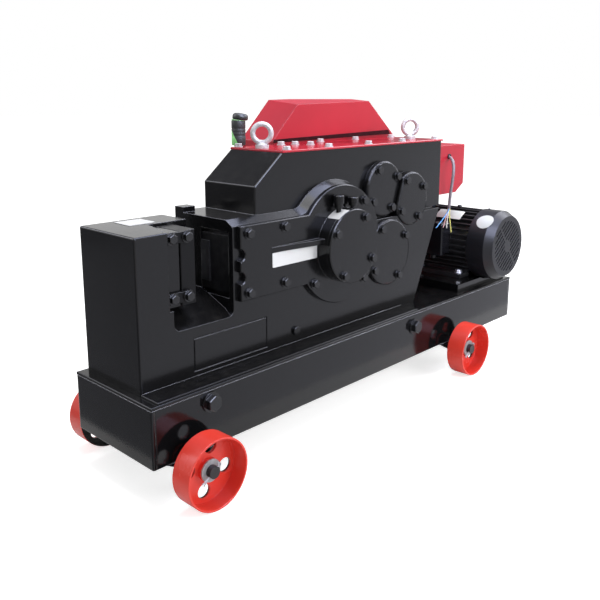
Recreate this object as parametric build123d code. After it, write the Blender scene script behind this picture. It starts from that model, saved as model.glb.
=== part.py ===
from build123d import *
import math
import os

# Rebar cutting machine. Millimetres, +Z up, floor at z = 0. +X runs from the cutting end
# to the motor end, -Y is the side that carries the shaft covers. The origin is the middle
# of the machine's outline on the floor.

# Clearances
running_clearance = 0.08
sliding_clearance = 0.05
bolt_clearance = 0.2
side_gap = 0.3
seam_gap = 1.0
hole_run_out = 2.0

# Base frame
base_length = 1380.0
base_width = 270.0
base_height = 126.0
deck_thickness = 6.0
web_thickness = 8.0
flange_width = 53.0
flange_thickness = 9.0
end_plate_thickness = 8.0
end_plate_round = 3.0
cross_member_thickness = 8.0
cross_member_places = (300.0, 620.0, 940.0, 1190.0)
side_bolt_thread = 20.0
side_bolt_grip = 26.0
side_bolt_places = ((141.0, 95.0), (845.0, 86.0))

# Wheels and axles
wheel_radius = 73.0
wheel_width = 50.0
rim_thickness = 4.0
wheel_web_thickness = 7.0
wheel_web_recess = 36.0
hub_radius = 23.0
wheel_hole_radius = 15.0
wheel_hole_circle = 45.0
wheel_hole_count = 4
wheel_hole_turns = (78.0, 52.0, 45.0, 60.0)
wheel_edge_round = 1.0
axle_diameter = 25.0
axle_places = (92.0, 1040.0)
axle_drop = 0.5
wheel_standoff = 31.0
hub_setback = 27.0
collar_radius = 19.0
hub_washer_thickness = 3.0
axle_end_length = 15.0
split_pin_diameter = 4.0
split_pin_turn = 215.0
split_pin_spread = 9.0
split_pin_leg = 20.0
split_pin_wire = 1.2
split_pin_loop = 3.6
saddle_thickness = 8.0
saddle_half_length = 62.0
saddle_bottom_radius = 18.0

# Body casting, lengths along X from the base's left end
body_setback = 59.0
body_depth = 196.0
panel_step = 22.0
shear_depth = 106.0
post_inset = 18.0
near_post_length = 75.0
member_length = 41.0
member_setback = 21.0
member_drop = 5.0
member_skew = 28.0
far_post_length = 200.0
blade_edge_setback = 3.0
bar_opening = 42.0
slide_face_inset = 257.0
box_inset = 342.0
chamfer_inset = 425.0
body_top_length = 1074.0
body_waist_length = 1038.0
body_foot_length = 925.0
post_height = 311.0
slide_height = 314.0
chamfer_height = 376.0
housing_height = 445.0
right_panel_height = 257.0
wall = 16.0
near_wall = 19.0
far_wall = 22.0
throat_inset = 102.0
throat_height = 109.0
throat_rise = 44.0
throat_corner = 16.0
ledge_drop = 12.0
ledge_depth = 20.0
contour_radius = 155.0
contour_fillet = 40.0
casting_round = 4.0
foot_round = 1.5
foot_width = 55.0
foot_height = 4.0
foot_length = 849.0
nameplate_x = (148.0, 354.0)
nameplate_z = (14.0, 86.0)
nameplate_border = 3.0
nameplate_depth = 2.0
slide_lug_x = (257.0, 290.0)
slide_lug_depth = 30.0
slide_lug_height = 12.0
guard_pad_radius = 14.0
guard_pad_height = 13.0

# Crank, ram and blades
crank_x = 597.0
crank_height = 217.0
crank_throw = 22.0
crank_journal_radius = 42.0
eccentric_radius = 68.0
crank_shaft_radius = 44.0
crank_bore_radius = 112.0
conrod_width = 40.0
conrod_wall = 18.0
small_end_radius = 28.0
wrist_pin_radius = 15.0
wrist_pin_length = 78.0
wrist_pin_x = 385.0
rod_shank_half = 24.0
rod_shank_end_half = 30.0
ram_height = 124.0
ram_near_setback = 14.0
ram_front_gap = 3.0
ram_length = 197.0
guide_thickness = 10.0
guide_inset = 10.0
guide_length = 140.0
gib_height = 100.0
gib_x = (285.0, 410.0)
blade_height = 90.0
blade_depth = 40.0
blade_thickness = 28.0
blade_bolt_thread = 10.0

# Gear planes, depths from the base's near face
first_plane = (108.0, 136.0)
second_plane = (148.0, 180.0)
third_plane = (186.0, 228.0)
conrod_plane_start = 104.0

# Gear train: teeth and modules, and the direction of each centre line in degrees
input_teeth = 18
second_gear_teeth = 48
second_pinion_teeth = 18
third_gear_teeth = 49
third_pinion_teeth = 16
crank_gear_teeth = 52
first_module = 3.5
second_module = 5.0
third_module = 6.0
third_direction = -14.7
second_direction = 92.0
input_direction = -17.5
addendum = 0.8
dedendum = 1.15
tooth_share = 0.42
pressure_angle = 20.0
input_shaft_radius = 20.0
second_shaft_radius = 22.5
third_shaft_radius = 30.0
seat_step = 3.0
bush_wall = 8.0
crank_bush_wall = 10.0
gear_web_share = 0.4

# Slide and crank cover, shaft covers
cover_plate_thickness = 12.0
cover_left_inset = 269.0
cover_height = 163.0
cover_low = 139.0
scallop_radius = 13.0
scallop_heights = (190.0, 240.0)
flange_radius = 145.0
crank_boss_radius = 90.0
crank_boss_height = 30.0
crank_cover_thickness = 10.0
inner_boss_radius = 66.0
spigot_depth = 8.0
rib_start = 349.0
rib_height = 244.0
rib_width = 12.0
rib_rise = 25.0
cover_bolt_thread = 12.0
cover_thread_depth = 12.0
slide_bolt_places = ((292.0, 284.5), (400.0, 286.0), (292.0, 155.0), (400.0, 159.0))
flange_bolt_circle = 128.0
flange_bolt_angles = (51.0, 219.0, 310.0)
crank_bolt_circle = 77.0
crank_bolt_turn = 150.0
large_cover_radius = 88.0
large_bolt_circle = 76.5
small_cover_radius = 72.0
small_bolt_circle = 59.0
cover_bolt_turn = 30.0
third_cover_thickness = 10.0
second_cover_thickness = 16.0
input_cover_thickness = 26.0
far_cover_thickness = 8.0
far_cover_margin = 22.0
cover_round = 2.0

# Throat clamp
block_length = 37.0
block_gap = 4.0
strap_height = 22.0
strap_thickness = 8.0
strap_overlap = 34.0
strap_length = 60.0
clamp_bolt_thread = 12.0
clamp_thread_depth = 24.0
clamp_base_height = 162.0

# Top plate, lifting eyes, oil fittings
top_plate_thickness = 5.0
top_plate_overhang = 3.0
top_bolt_thread = 10.0
top_thread_depth = 20.0
top_bolt_margin = 15.0
near_top_bolts = (450.0, 594.0, 747.0, 893.0, 1050.0)
far_top_bolts = (441.0, 734.0, 882.0, 1050.0)
middle_top_bolts = ((565.0, 224.0), (599.0, 208.0), (622.0, 176.0))
middle_thread_depth = 4.0
eye_ring_radius = 21.0
eye_wire_radius = 6.5
eye_shank_radius = 6.0
eye_shank_length = 22.0
eye_foot_radius = 16.0
eye_foot_height = 8.0
eye_hole_radius = 15.5
eye_neck = 11.0
eye_turns = (44.0, 38.0)
eye_places = ((449.0, 89.0), (1014.0, 69.0))
oil_cup_radius = 13.0
oil_cup_places = ((-32.0, 40.0), (20.0, 28.0))
oil_cup_thread_radius = 6.0
oil_cup_thread_depth = 10.0
oil_cup_edge = 1.5
plug_radius = 10.0
plug_thread_radius = 6.0
plug_depth = 8.0
plug_head = 6.0
level_plug_radius = 14.0
drain_plug_place = (446.0, 31.0)
level_plug_place = (985.0, 291.0)

# Belt drive and its guard
belt_count = 3
belt_pitch = 19.0
belt_width = 11.6
belt_height = 9.0
belt_clearance = 0.4
pulley_edge = 12.0
flywheel_pitch_radius = 236.0
motor_pulley_pitch_radius = 62.0
groove_depth = 13.0
flywheel_web = 16.0
flywheel_rim = 26.0
flywheel_hub_radius = 48.0
pulley_start = 290.0
guard_start = 268.0
guard_depth = 123.0
guard_sheet = 2.5
guard_stud_radius = 5.0
guard_screw_head = 3.0
guard_stud_depth = 6.0
guard_top_clearance = 24.0
guard_slope_clearance = 5.4
guard_foot_clearance = 18.5
guard_slope_angle = 39.4
guard_shoulder_height = 457.0
guard_top_start = 684.5
guard_lid_edge = ((671.0, 548.5), (963.0, 556.6))
guard_lid_far_height = 560.0
guard_left_x = 580.0
guard_right_x = 1362.0
guard_cut = 165.0
guard_round = 5.0
guard_edge_round = 1.6
guard_stud_clearance = 32.0
guard_stud_turns = (156.0, 220.0, 243.0)
guard_end_stud = (1343.0, 200.0)

# Motor, axis along Y
motor_x = 1272.0
motor_shaft_height = 100.0
motor_rail_height = 23.0
motor_body_start = 40.0
motor_body_length = 190.0
motor_body_radius = 90.0
motor_fin_radius = 103.0
motor_fin_count = 36
motor_fin_width = 3.2
foot_clear_angle = 40.0
rotor_radius = 59.0
air_gap = 2.0
motor_shaft_radius = 14.0
shield_thickness = 10.0
drive_shield_depth = 50.0
shield_boss_radius = 52.0
fan_cover_radius = 106.0
fan_cover_face_radius = 92.0
fan_cover_overlap = 12.0
fan_cover_face_depth = 40.0
fan_cover_chamfer = 24.0
fan_cover_sheet = 2.5
grille_radius = 82.0
grille_slot = 6.0
grille_pitch = 12.0
grille_bar = 7.0
fan_radius = 84.0
fan_blade_count = 8
foot_spacing_x = 160.0
foot_spacing_y = 140.0
first_foot_y = 77.0
foot_pad_width = 42.0
foot_thickness = 12.0
foot_web_reach = 49.5
foot_web_thickness = 14.0
foot_ends = (18.0, 12.0)
foot_bolt_thread = 12.0
rail_x = (1096.0, 1372.0)
rail_y = (20.0, 262.0)
rail_wall = 8.0
terminal_box_size = (45.0, 90.0, 96.0)
terminal_box_y = 100.0
terminal_pad_inset = 6.0
terminal_box_rise = -28.0

# Switch box and lead
switch_box_y = (110.0, 230.0)
switch_box_z = (281.0, 427.0)
switch_box_end = 1250.0
switch_box_cut = (42.0, 26.0)
switch_box_sheet = 2.0
switch_box_round = 4.0
switch_box_edge_round = 1.2
button_radius = 13.0
button_flange = 17.0
button_land = 4.0
button_depth = 6.0
button_travel = 4.0
button_heights = (392.0, 342.0)
button_clearance = 0.3
grommet_place = (1163.0, 393.0)
grommet_radius = 8.0
grommet_length = 7.0
lead_diameter = 9.0
core_diameter = 3.2
lead_points = (
    (1163.0, 120.0, 393.0),
    (1163.0, 96.0, 393.0),
    (1160.0, 78.0, 377.0),
    (1152.0, 71.0, 352.0),
    (1146.0, 75.0, 313.0),
    (1141.0, 81.0, 275.0),
    (1138.0, 87.0, 241.0),
)
core_run = 14.0
core_ends = (
    (1076.0, 90.0, 189.0),
    (1119.0, 93.0, 184.0),
    (1127.0, 86.0, 182.0),
    (1150.0, 84.0, 167.0),
)

# Clutch lever on the far wall
lever_x = 466.0
lever_pivot_height = 254.0
lever_pin_radius = 12.0
lever_boss_radius = 24.0
lever_boss_height = 11.0
lever_width = 30.0
lever_thickness = 10.0
lever_tang_radius = 7.0
lever_tang_length = 70.0
grip_low_height = 452.0
grip_height = 86.0
grip_radius = 16.0
grip_cap_radius = 19.0
grip_cap_round = 5.0

# Places worked out from the sizes above
wheel_reach = wheel_standoff + wheel_width
axle_reach = wheel_reach - hub_setback + axle_end_length
guard_reach = guard_start + guard_depth + guard_screw_head - base_width
machine_depth = wheel_reach + base_width + guard_reach
left_end = -base_length / 2
near_face = wheel_reach - machine_depth / 2
base_bottom = wheel_radius + axle_diameter / 2 + axle_drop
deck_top = base_bottom + base_height


def along(distance):
    """X at a distance from the base's left end."""
    return left_end + distance


def across(distance):
    """Y at a distance from the base's near face."""
    return near_face + distance


def over_deck(height):
    """Z at a height over the deck."""
    return deck_top + height


far_face = across(base_width)
body_near = across(body_setback)
panel_back = body_near + panel_step
near_inner = panel_back + near_wall
body_far = body_near + body_depth
far_inner = body_far - far_wall
shear_plane = body_near + shear_depth
post_left = along(post_inset)
post_near_end = post_left + near_post_length
member_end = post_near_end + member_length
far_post_end = post_left + far_post_length
fixed_edge = far_post_end - blade_edge_setback
slide_face = along(slide_face_inset)
box_left = along(box_inset)
chamfer_x = along(chamfer_inset)
post_top = over_deck(post_height)
slide_top = over_deck(slide_height)
body_top = over_deck(housing_height)
body_right = along(body_top_length)
waist = over_deck(right_panel_height)
throat_low = over_deck(throat_height)
throat_high = throat_low + throat_rise
cavity_left = along(crank_x) - (crank_gear_teeth / 2 + addendum) * third_module - 20

# Shaft centres as (x, z), each set by its gear pair
crank_centre = (along(crank_x), over_deck(crank_height))


def meshed(centre, direction, teeth, module):
    """The centre of a shaft whose gear meshes with the one at centre, in a given direction."""
    distance = teeth * module / 2
    turn = math.radians(direction)
    return (centre[0] + distance * math.cos(turn), centre[1] + distance * math.sin(turn))


third_centre = meshed(crank_centre, third_direction, crank_gear_teeth + third_pinion_teeth, third_module)
second_centre = meshed(third_centre, second_direction, third_gear_teeth + second_pinion_teeth, second_module)
input_centre = meshed(second_centre, input_direction, second_gear_teeth + input_teeth, first_module)
motor_centre = (along(motor_x), over_deck(motor_rail_height + motor_shaft_height))
ram_low = crank_centre[1] - ram_height / 2
ram_high = crank_centre[1] + ram_height / 2
ram_near = body_near + ram_near_setback
ram_front = slide_face + ram_front_gap
ram_rear = ram_front + ram_length
eccentric_centre = (crank_centre[0] + crank_throw, crank_centre[1])
wrist_centre = (along(wrist_pin_x), crank_centre[1])
blade_low = crank_centre[1] - blade_height / 2
blade_high = crank_centre[1] + blade_height / 2
conrod_y = (across(conrod_plane_start), across(conrod_plane_start) + conrod_width)
plate_top = body_top + top_plate_thickness
member_low = throat_high
member_top = post_top - member_drop
member_near = body_near + member_setback


NEAR = (0, -1, 0)
FAR = (0, 1, 0)
UP = (0, 0, 1)
RIGHT = (1, 0, 0)

# Basic solids


def block(x, y, z):
    """A box between two x, two y and two z places."""
    size = [high - low for low, high in (x, y, z)]
    middle = [(low + high) / 2 for low, high in (x, y, z)]
    return Pos(*middle) * Box(*size)


def slab(outline, y):
    """A flat outline in the XZ plane, solid between two y places."""
    return extrude(Plane.XZ.offset(-y[1]) * outline, amount=y[1] - y[0], dir=NEAR)


def disc(centre, radius):
    """A flat round outline at an (x, z) centre."""
    return Pos(*centre) * Circle(radius)


def drum(centre, radius, y):
    """A cylinder along Y between two y places."""
    return slab(disc(centre, radius), y)


def ring(centre, outer, inner, y):
    """A tube along Y between two y places."""
    return slab(disc(centre, outer) - disc(centre, inner), y)


def post(x, y, radius, z):
    """A cylinder along Z between two z places."""
    return Pos(x, y, (z[0] + z[1]) / 2) * Cylinder(radius, z[1] - z[0])


def rod_x(y, z, radius, x):
    """A cylinder along X between two x places."""
    return Pos((x[0] + x[1]) / 2, y, z) * Rot(0, 90, 0) * Cylinder(radius, x[1] - x[0])


def outline(*points):
    """A flat polygon through (x, z) points."""
    return Polygon(*points, align=None)


def on_circle(centre, radius, degrees):
    """An (x, z) point on a circle."""
    turn = math.radians(degrees)
    return (centre[0] + radius * math.cos(turn), centre[1] + radius * math.sin(turn))


def square_circle(centre, radius, turn):
    """Four (x, z) points on a circle, a quarter turn apart."""
    return [on_circle(centre, radius, turn + 90 * step) for step in range(4)]


# Fasteners


def hex_bolt(thread, grip):
    """A hex bolt with its washer, its seat at z = 0 and its head on +Z."""
    washer = 0.18 * thread
    head = extrude(RegularPolygon(0.87 * thread, 6), amount=0.65 * thread)
    head = chamfer(head.edges().group_by(Axis.Z)[-1], 0.08 * thread)
    flat_washer = Pos(0, 0, washer / 2) * Cylinder(1.05 * thread, washer)
    shank = Pos(0, 0, -grip / 2) * Cylinder(thread / 2, grip)
    return Pos(0, 0, washer) * head + flat_washer + shank


def bolts(places, outward, thread, grip):
    """Hex bolts seated at the places, their heads facing outward."""
    return [Plane(place, z_dir=outward) * hex_bolt(thread, grip) for place in places]


def bolt_holes(places, outward, thread, depth):
    """Round holes for such bolts, from just outside the seat to a depth."""
    radius = thread / 2 + bolt_clearance
    hole = Pos(0, 0, 1 - depth / 2) * Cylinder(radius, depth + 2)
    return [Plane(place, z_dir=outward) * hole for place in places]


def at_depth(points, y):
    """Flat (x, z) points set at one y place."""
    return [(x, y, z) for x, z in points]


# Bolt places
slide_points = [(along(x), over_deck(z)) for x, z in slide_bolt_places]
flange_points = [on_circle(crank_centre, flange_bolt_circle, turn) for turn in flange_bolt_angles]
crank_points = square_circle(crank_centre, crank_bolt_circle, crank_bolt_turn)
third_points = square_circle(third_centre, large_bolt_circle, cover_bolt_turn)
second_points = square_circle(second_centre, small_bolt_circle, cover_bolt_turn)
input_points = square_circle(input_centre, small_bolt_circle, cover_bolt_turn)
cover_face = body_near - cover_plate_thickness
boss_face = cover_face - crank_boss_height
cover_seats = (
    at_depth(crank_points, boss_face - crank_cover_thickness)
    + at_depth(third_points, body_near - third_cover_thickness)
    + at_depth(second_points, panel_back - second_cover_thickness)
    + at_depth(input_points, panel_back - input_cover_thickness)
)
cover_grips = (
    [crank_cover_thickness + cover_thread_depth] * 4
    + [third_cover_thickness + cover_thread_depth] * 4
    + [second_cover_thickness + cover_thread_depth] * 4
    + [input_cover_thickness + cover_thread_depth] * 4
)
slide_seats = at_depth(slide_points + flange_points, cover_face)
slide_grip = cover_plate_thickness + ram_near_setback - 3
block_left = member_end + block_gap
strap_lows = (member_top - strap_height, over_deck(clamp_base_height))
strap_left = member_end - strap_overlap
strap_right = strap_left + strap_length
clamp_xs = (strap_left + strap_height / 2, strap_right - strap_height / 2)
clamp_seats = [
    (x, member_near - strap_thickness, low + strap_height / 2) for low in strap_lows for x in clamp_xs
]
clamp_grip = strap_thickness + clamp_thread_depth
top_bolt_seats = [
    (along(x), y, plate_top)
    for xs, y in (
        (near_top_bolts, panel_back + top_bolt_margin - 6),
        (far_top_bolts, body_far - top_bolt_margin + 4),
    )
    for x in xs
]
top_bolt_grip = top_plate_thickness + top_thread_depth
middle_bolt_seats = [(along(x), across(y), plate_top) for x, y in middle_top_bolts]
middle_bolt_grip = top_plate_thickness + middle_thread_depth
foot_bolt_seats = [
    (
        motor_centre[0] + side * foot_spacing_x / 2,
        across(first_foot_y) + row * foot_spacing_y,
        over_deck(motor_rail_height + foot_thickness),
    )
    for side in (-1, 1)
    for row in (0, 1)
]
foot_bolt_grip = foot_thickness + rail_wall
side_bolt_xz = [(along(x), base_bottom + z) for x, z in side_bolt_places]
flywheel_outer = flywheel_pitch_radius + belt_height / 2
guard_stud_xz = [
    on_circle(input_centre, flywheel_outer + guard_stud_clearance, turn) for turn in guard_stud_turns
]
guard_stud_xz.append((along(guard_end_stud[0]), over_deck(guard_end_stud[1])))


# Base and running gear


def base_side_channels():
    """Two side channels, their webs outside and their flanges inside."""
    x = (left_end + end_plate_thickness, -left_end - end_plate_thickness)
    z = (base_bottom, deck_top - deck_thickness)
    inner_z = (z[0] + flange_thickness, z[1] - flange_thickness)
    rows = []
    for face, inward in ((near_face, 1), (far_face, -1)):
        outer_y = sorted((face, face + inward * flange_width))
        inner_y = sorted((face + inward * web_thickness, face + inward * (flange_width + 1)))
        channel = block(x, outer_y, z) - block(x, inner_y, inner_z)
        for place in side_bolt_xz:
            channel -= drum(place, side_bolt_thread / 2 + bolt_clearance, (face - 60, face + 60))
        rows.append(channel)
    return rows


def base_cross_members():
    """The two end plates and the plates between the channels."""
    z = (base_bottom, deck_top - deck_thickness)
    inner_z = (z[0] + flange_thickness, z[1] - flange_thickness)
    inner_y = (near_face + web_thickness, far_face - web_thickness)
    ends = []
    for outer, side in ((left_end, 1), (-left_end, -1)):
        plate = block(sorted((outer, outer + side * end_plate_thickness)), (near_face, far_face), z)
        corners = plate.edges().filter_by(Axis.Z).sort_by(Axis.X)
        ends.append(fillet(corners[:2] if side > 0 else corners[2:], end_plate_round))
    inner = [
        block((along(place), along(place) + cross_member_thickness), inner_y, inner_z)
        for place in cross_member_places
    ]
    return ends + inner


def deck_plate():
    """The plate on top of the channels."""
    plate = block((left_end, -left_end), (near_face, far_face), (deck_top - deck_thickness, deck_top))
    return fillet(plate.edges().group_by(Axis.Z)[-1], deck_thickness / 3)


def base_side_bolts():
    """Large hex bolts through the channel webs, with nuts inside."""
    rows = []
    for face, outward in ((near_face, NEAR), (far_face, FAR)):
        for bolt in bolts(at_depth(side_bolt_xz, face), outward, side_bolt_thread, side_bolt_grip):
            rows.append(bolt)
        nut_y = face - outward[1] * web_thickness
        for x, z in side_bolt_xz:
            nut = extrude(RegularPolygon(0.87 * side_bolt_thread, 6), amount=0.7 * side_bolt_thread)
            hole = Cylinder(side_bolt_thread / 2 + sliding_clearance, 3 * side_bolt_thread)
            rows.append(Plane((x, nut_y, z), x_dir=RIGHT, z_dir=(0, -outward[1], 0)) * (nut - hole))
    return rows


def axle_saddles():
    """Tapered plates under the channels that carry the axles."""
    rows = []
    drop = base_bottom - wheel_radius
    for place in axle_places:
        centre = (along(place), wheel_radius)
        taper = make_hull(
            [
                *disc(centre, saddle_bottom_radius).edges(),
                Line(
                    (centre[0] - saddle_half_length, centre[1] + drop),
                    (centre[0] + saddle_half_length, centre[1] + drop),
                ),
            ]
        )
        cut = Rectangle(4 * saddle_half_length, 2 * wheel_radius)
        above = Pos(centre[0], base_bottom + wheel_radius) * cut
        face = taper - above - disc(centre, axle_diameter / 2 + sliding_clearance)
        for y in (near_face, far_face - saddle_thickness):
            rows.append(slab(face, (y, y + saddle_thickness)))
    return rows


def axles():
    """Two axles with collars that keep the wheels off the frame."""
    rows = []
    for place in axle_places:
        centre = (along(place), wheel_radius)
        axle = drum(centre, axle_diameter / 2, (near_face - axle_reach, far_face + axle_reach))
        reach = wheel_standoff - side_gap
        for y in ((near_face - reach, near_face), (far_face, far_face + reach)):
            axle += drum(centre, collar_radius, y)
        pin_hole = Cylinder(split_pin_diameter / 2 + sliding_clearance, 2 * axle_diameter)
        for y in split_pin_ys():
            axle -= split_pin_frame(place, y) * pin_hole
        rows.append(axle)
    return rows


def split_pin_ys():
    """Y of the split pins at the two ends of an axle."""
    inset = split_pin_diameter / 2 + 3
    return (near_face - axle_reach + inset, far_face + axle_reach - inset)


def split_pin_frame(place, y):
    """A frame across an axle's end, with its Z towards the legs of the split pin."""
    turn = math.radians(split_pin_turn)
    return Plane((along(place), y, wheel_radius), x_dir=FAR, z_dir=(math.cos(turn), 0, math.sin(turn)))


def split_pin():
    """A split pin along Z: loop, shank and two opened legs."""
    reach = axle_diameter / 2
    pin = Cylinder(split_pin_diameter / 2, axle_diameter + split_pin_diameter)
    loop = Rot(0, 90, 0) * Torus(split_pin_loop, split_pin_wire)
    pin += Pos(0, 0, -reach - side_gap - split_pin_loop - split_pin_wire) * loop
    leg = Pos(0, 0, split_pin_leg / 2) * Cylinder(split_pin_wire, split_pin_leg)
    for side in (-1, 1):
        pin += Pos(0, 0, reach) * Rot(side * split_pin_spread, 0, 0) * leg
    return pin


def wheel_retainers():
    """A washer and a split pin at each axle end."""
    rows = []
    hub_face = wheel_reach - hub_setback + side_gap
    for place in axle_places:
        centre = (along(place), wheel_radius)
        for face, side in ((near_face, -1), (far_face, 1)):
            y = sorted((face + side * hub_face, face + side * (hub_face + hub_washer_thickness)))
            rows.append(ring(centre, hub_radius, axle_diameter / 2 + sliding_clearance, y))
        for y in split_pin_ys():
            rows.append(split_pin_frame(place, y) * split_pin())
    return rows


def wheel(place, side, hole_turn):
    """A cast wheel: thin rim, deep-set web with round holes, and hub."""
    centre = (along(place), wheel_radius)
    start = near_face - wheel_standoff if side < 0 else far_face + wheel_standoff
    end = start + side * wheel_width
    whole = sorted((start, end))
    web = sorted((end - side * wheel_web_recess, end - side * (wheel_web_recess + wheel_web_thickness)))
    hub = sorted((start, end - side * hub_setback))
    rim = ring(centre, wheel_radius, wheel_radius - rim_thickness, whole)
    rim = fillet(rim.edges().filter_by(GeomType.CIRCLE), wheel_edge_round)
    body = rim + drum(centre, wheel_radius - rim_thickness / 2, web) + drum(centre, hub_radius, hub)
    body -= drum(centre, axle_diameter / 2 + running_clearance, whole)
    for hole in range(wheel_hole_count):
        spot = on_circle(centre, wheel_hole_circle, hole_turn + 360 * hole / wheel_hole_count)
        body -= drum(spot, wheel_hole_radius, whole)
    return body


# Body casting


def wall_x(z):
    """X of the slanted lower part of the body's right wall at a height."""
    share = (z - deck_top) / right_panel_height
    return along(body_foot_length + share * (body_waist_length - body_foot_length))


def post_block():
    """The cutting post, with its outer edges rounded."""
    piece = block((post_left, slide_face), (body_near, body_far), (deck_top, post_top))
    rows = [edge for edge in piece.edges() if edge.center().X < slide_face and edge.center().Z > deck_top]
    return fillet(rows, casting_round)


def gear_housing():
    """The housing behind the slide, with its end slanted below and its chamfered front."""
    face = outline(
        (box_left, deck_top),
        (wall_x(deck_top), deck_top),
        (wall_x(waist), waist),
        (body_right, waist),
        (body_right, body_top),
        (chamfer_x, body_top),
        (box_left, over_deck(chamfer_height)),
    )
    piece = slab(face, (panel_back, body_far))
    rows = [edge for edge in piece.edges() if deck_top < edge.center().Z - 1 < body_top - 2]
    return fillet(rows, casting_round)


def slide_housing():
    """The low block that the ram slides in, between the post and the gear housing."""
    x = (slide_face, chamfer_x)
    return block(x, (panel_back, body_far), (deck_top, slide_top))


def foot_ledge():
    """The ledge along the casting's near foot."""
    x = (post_left, post_left + foot_length)
    piece = block(x, (body_near - foot_width, body_near), (deck_top, deck_top + foot_height))
    rows = [edge for edge in piece.edges() if edge.center().Y < body_near and edge.center().Z > deck_top]
    return fillet(rows, foot_round)


def raised_panel():
    """The thicker lower part of the near wall, with its sloped upper ledge."""
    beyond = slide_face - 2 * ledge_depth
    low = outline(
        (slide_face, deck_top),
        (wall_x(deck_top), deck_top),
        (wall_x(waist), waist),
        (slide_face, waist),
    )
    arch = outline(
        (beyond, crank_centre[1]),
        (crank_centre[0], crank_centre[1]),
        (crank_centre[0], slide_top),
        (beyond, slide_top),
    )
    arch += disc(crank_centre, contour_radius)
    corners = [v for v in arch.vertices() if abs(v.Y - slide_top) < 0.01 and v.X > slide_face]
    arch = fillet(corners, contour_fillet)
    smaller = offset(arch, -ledge_drop * panel_step / ledge_depth, kind=Kind.INTERSECTION)
    hump = loft([Plane.XZ.offset(-panel_back) * arch, Plane.XZ.offset(-body_near) * smaller], ruled=True)
    hump &= block((slide_face, wall_x(deck_top)), (body_near, panel_back), (deck_top, body_top))
    panel = hump + slab(low, (body_near, panel_back))
    for centre in (second_centre, input_centre):
        panel -= drum(centre, small_cover_radius + seam_gap, (body_near - 1, panel_back))
    return panel


def cavity():
    """The gear space, open at the top."""
    floor = deck_top + wall
    face = outline(
        (cavity_left, floor),
        (wall_x(floor) - wall, floor),
        (wall_x(waist) - wall, waist + wall),
        (body_right - wall, waist + wall),
        (body_right - wall, body_top + 1),
        (chamfer_x + wall, body_top + 1),
        (box_left + wall, over_deck(chamfer_height) - wall / 3),
        (box_left + wall, slide_top),
        (cavity_left, slide_top),
    )
    return slab(face, (near_inner, far_inner))


def throat_cut():
    """The cutting throat: chute, moving blade space, bar gap and clamp ledge."""
    above = post_top + 1
    chute_left = along(throat_inset)
    slope = Polygon(
        (body_near - 1, throat_low),
        (body_near, throat_low),
        (shear_plane + side_gap, throat_high),
        (body_near - 1, throat_high),
        align=None,
    )
    chute = extrude(Plane.YZ.offset(chute_left) * slope, amount=slide_face - chute_left, dir=RIGHT)
    rounded = RectangleRounded(slide_face - chute_left, 4 * throat_rise, throat_corner)
    middle = ((slide_face + chute_left) / 2, throat_low + 2 * throat_rise)
    chute &= slab(Pos(*middle) * rounded, (body_near - 1, shear_plane + 1))
    near_y = (body_near - 1, shear_plane + side_gap)
    space = block((member_end, slide_face), near_y, (member_low, above))
    ledge = block((post_near_end, member_end + 1), (body_near - 1, member_near), (member_low, above))
    corner = Polygon(
        (post_near_end, near_y[0]),
        (member_end + 1, near_y[0]),
        (member_end + 1, near_y[1]),
        (post_near_end + member_skew, near_y[1]),
        align=None,
    )
    drop = extrude(Plane.XY.offset(member_top) * corner, amount=above - member_top, dir=UP)
    gap_y = (shear_plane, body_far + 1)
    gap = block((far_post_end, slide_face), gap_y, (member_low, above))
    bar = block((fixed_edge, slide_face), gap_y, (member_low, blade_high + 12))
    return chute + space + ledge + drop + gap + bar


def ram_channel():
    """The space that the ram and its guides slide in, and the gib's window."""
    top = ram_high + guide_thickness + sliding_clearance
    low = ram_low - guide_thickness - sliding_clearance
    channel = block(
        (slide_face - 1, ram_rear + 2), (ram_near - sliding_clearance, shear_plane + side_gap), (low, top)
    )
    half = gib_height / 2
    window = block(
        (along(gib_x[0]), along(gib_x[1])),
        (body_near - 1, ram_near),
        (crank_centre[1] - half, crank_centre[1] + half),
    )
    return channel + window


def shaft_bores():
    """Holes in the near and far walls for the bushes and the crank."""
    cuts = drum(crank_centre, crank_bore_radius, (body_near - 1, near_inner + 1))
    cuts += drum(crank_centre, crank_journal_radius + crank_bush_wall, (far_inner - 1, body_far + 1))
    for centre, radius in shaft_rows():
        cuts += drum(centre, radius + bush_wall, (body_near - 1, near_inner + 1))
        cuts += drum(centre, radius + bush_wall, (far_inner - 1, body_far + 1))
    return cuts


def shaft_rows():
    """Centre and journal radius of the three upper shafts."""
    return (
        (input_centre, input_shaft_radius),
        (second_centre, second_shaft_radius),
        (third_centre, third_shaft_radius),
    )


def body_casting():
    """Post, bed, slide housing and gear housing in one casting."""
    body = gear_housing() + slide_housing() + post_block() + raised_panel() + foot_ledge()
    lug_x = [along(place) for place in slide_lug_x]
    lug_y = (body_far - slide_lug_depth, body_far)
    body += block(lug_x, lug_y, (slide_top - 1, slide_top + slide_lug_height))
    lever_spot = (along(lever_x), over_deck(lever_pivot_height))
    body += drum(lever_spot, lever_boss_radius, (body_far, body_far + lever_boss_height))
    for place in guard_stud_xz[:3]:
        body += drum(place, guard_pad_radius, (body_far, body_far + guard_pad_height))
    body -= cavity()
    body -= throat_cut()
    body -= ram_channel()
    body -= shaft_bores()
    body -= fixed_blade()
    body -= nameplate_recess()
    body -= drum(lever_spot, lever_pin_radius + running_clearance, (far_inner - 1, body_far + 20))
    for place in guard_stud_xz[:3]:
        hole_y = (body_far - guard_stud_depth - hole_run_out, body_far + guard_pad_height + 1)
        body -= drum(place, guard_stud_radius + sliding_clearance, hole_y)
    for cut in body_bolt_holes():
        body -= cut
    return body


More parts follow.
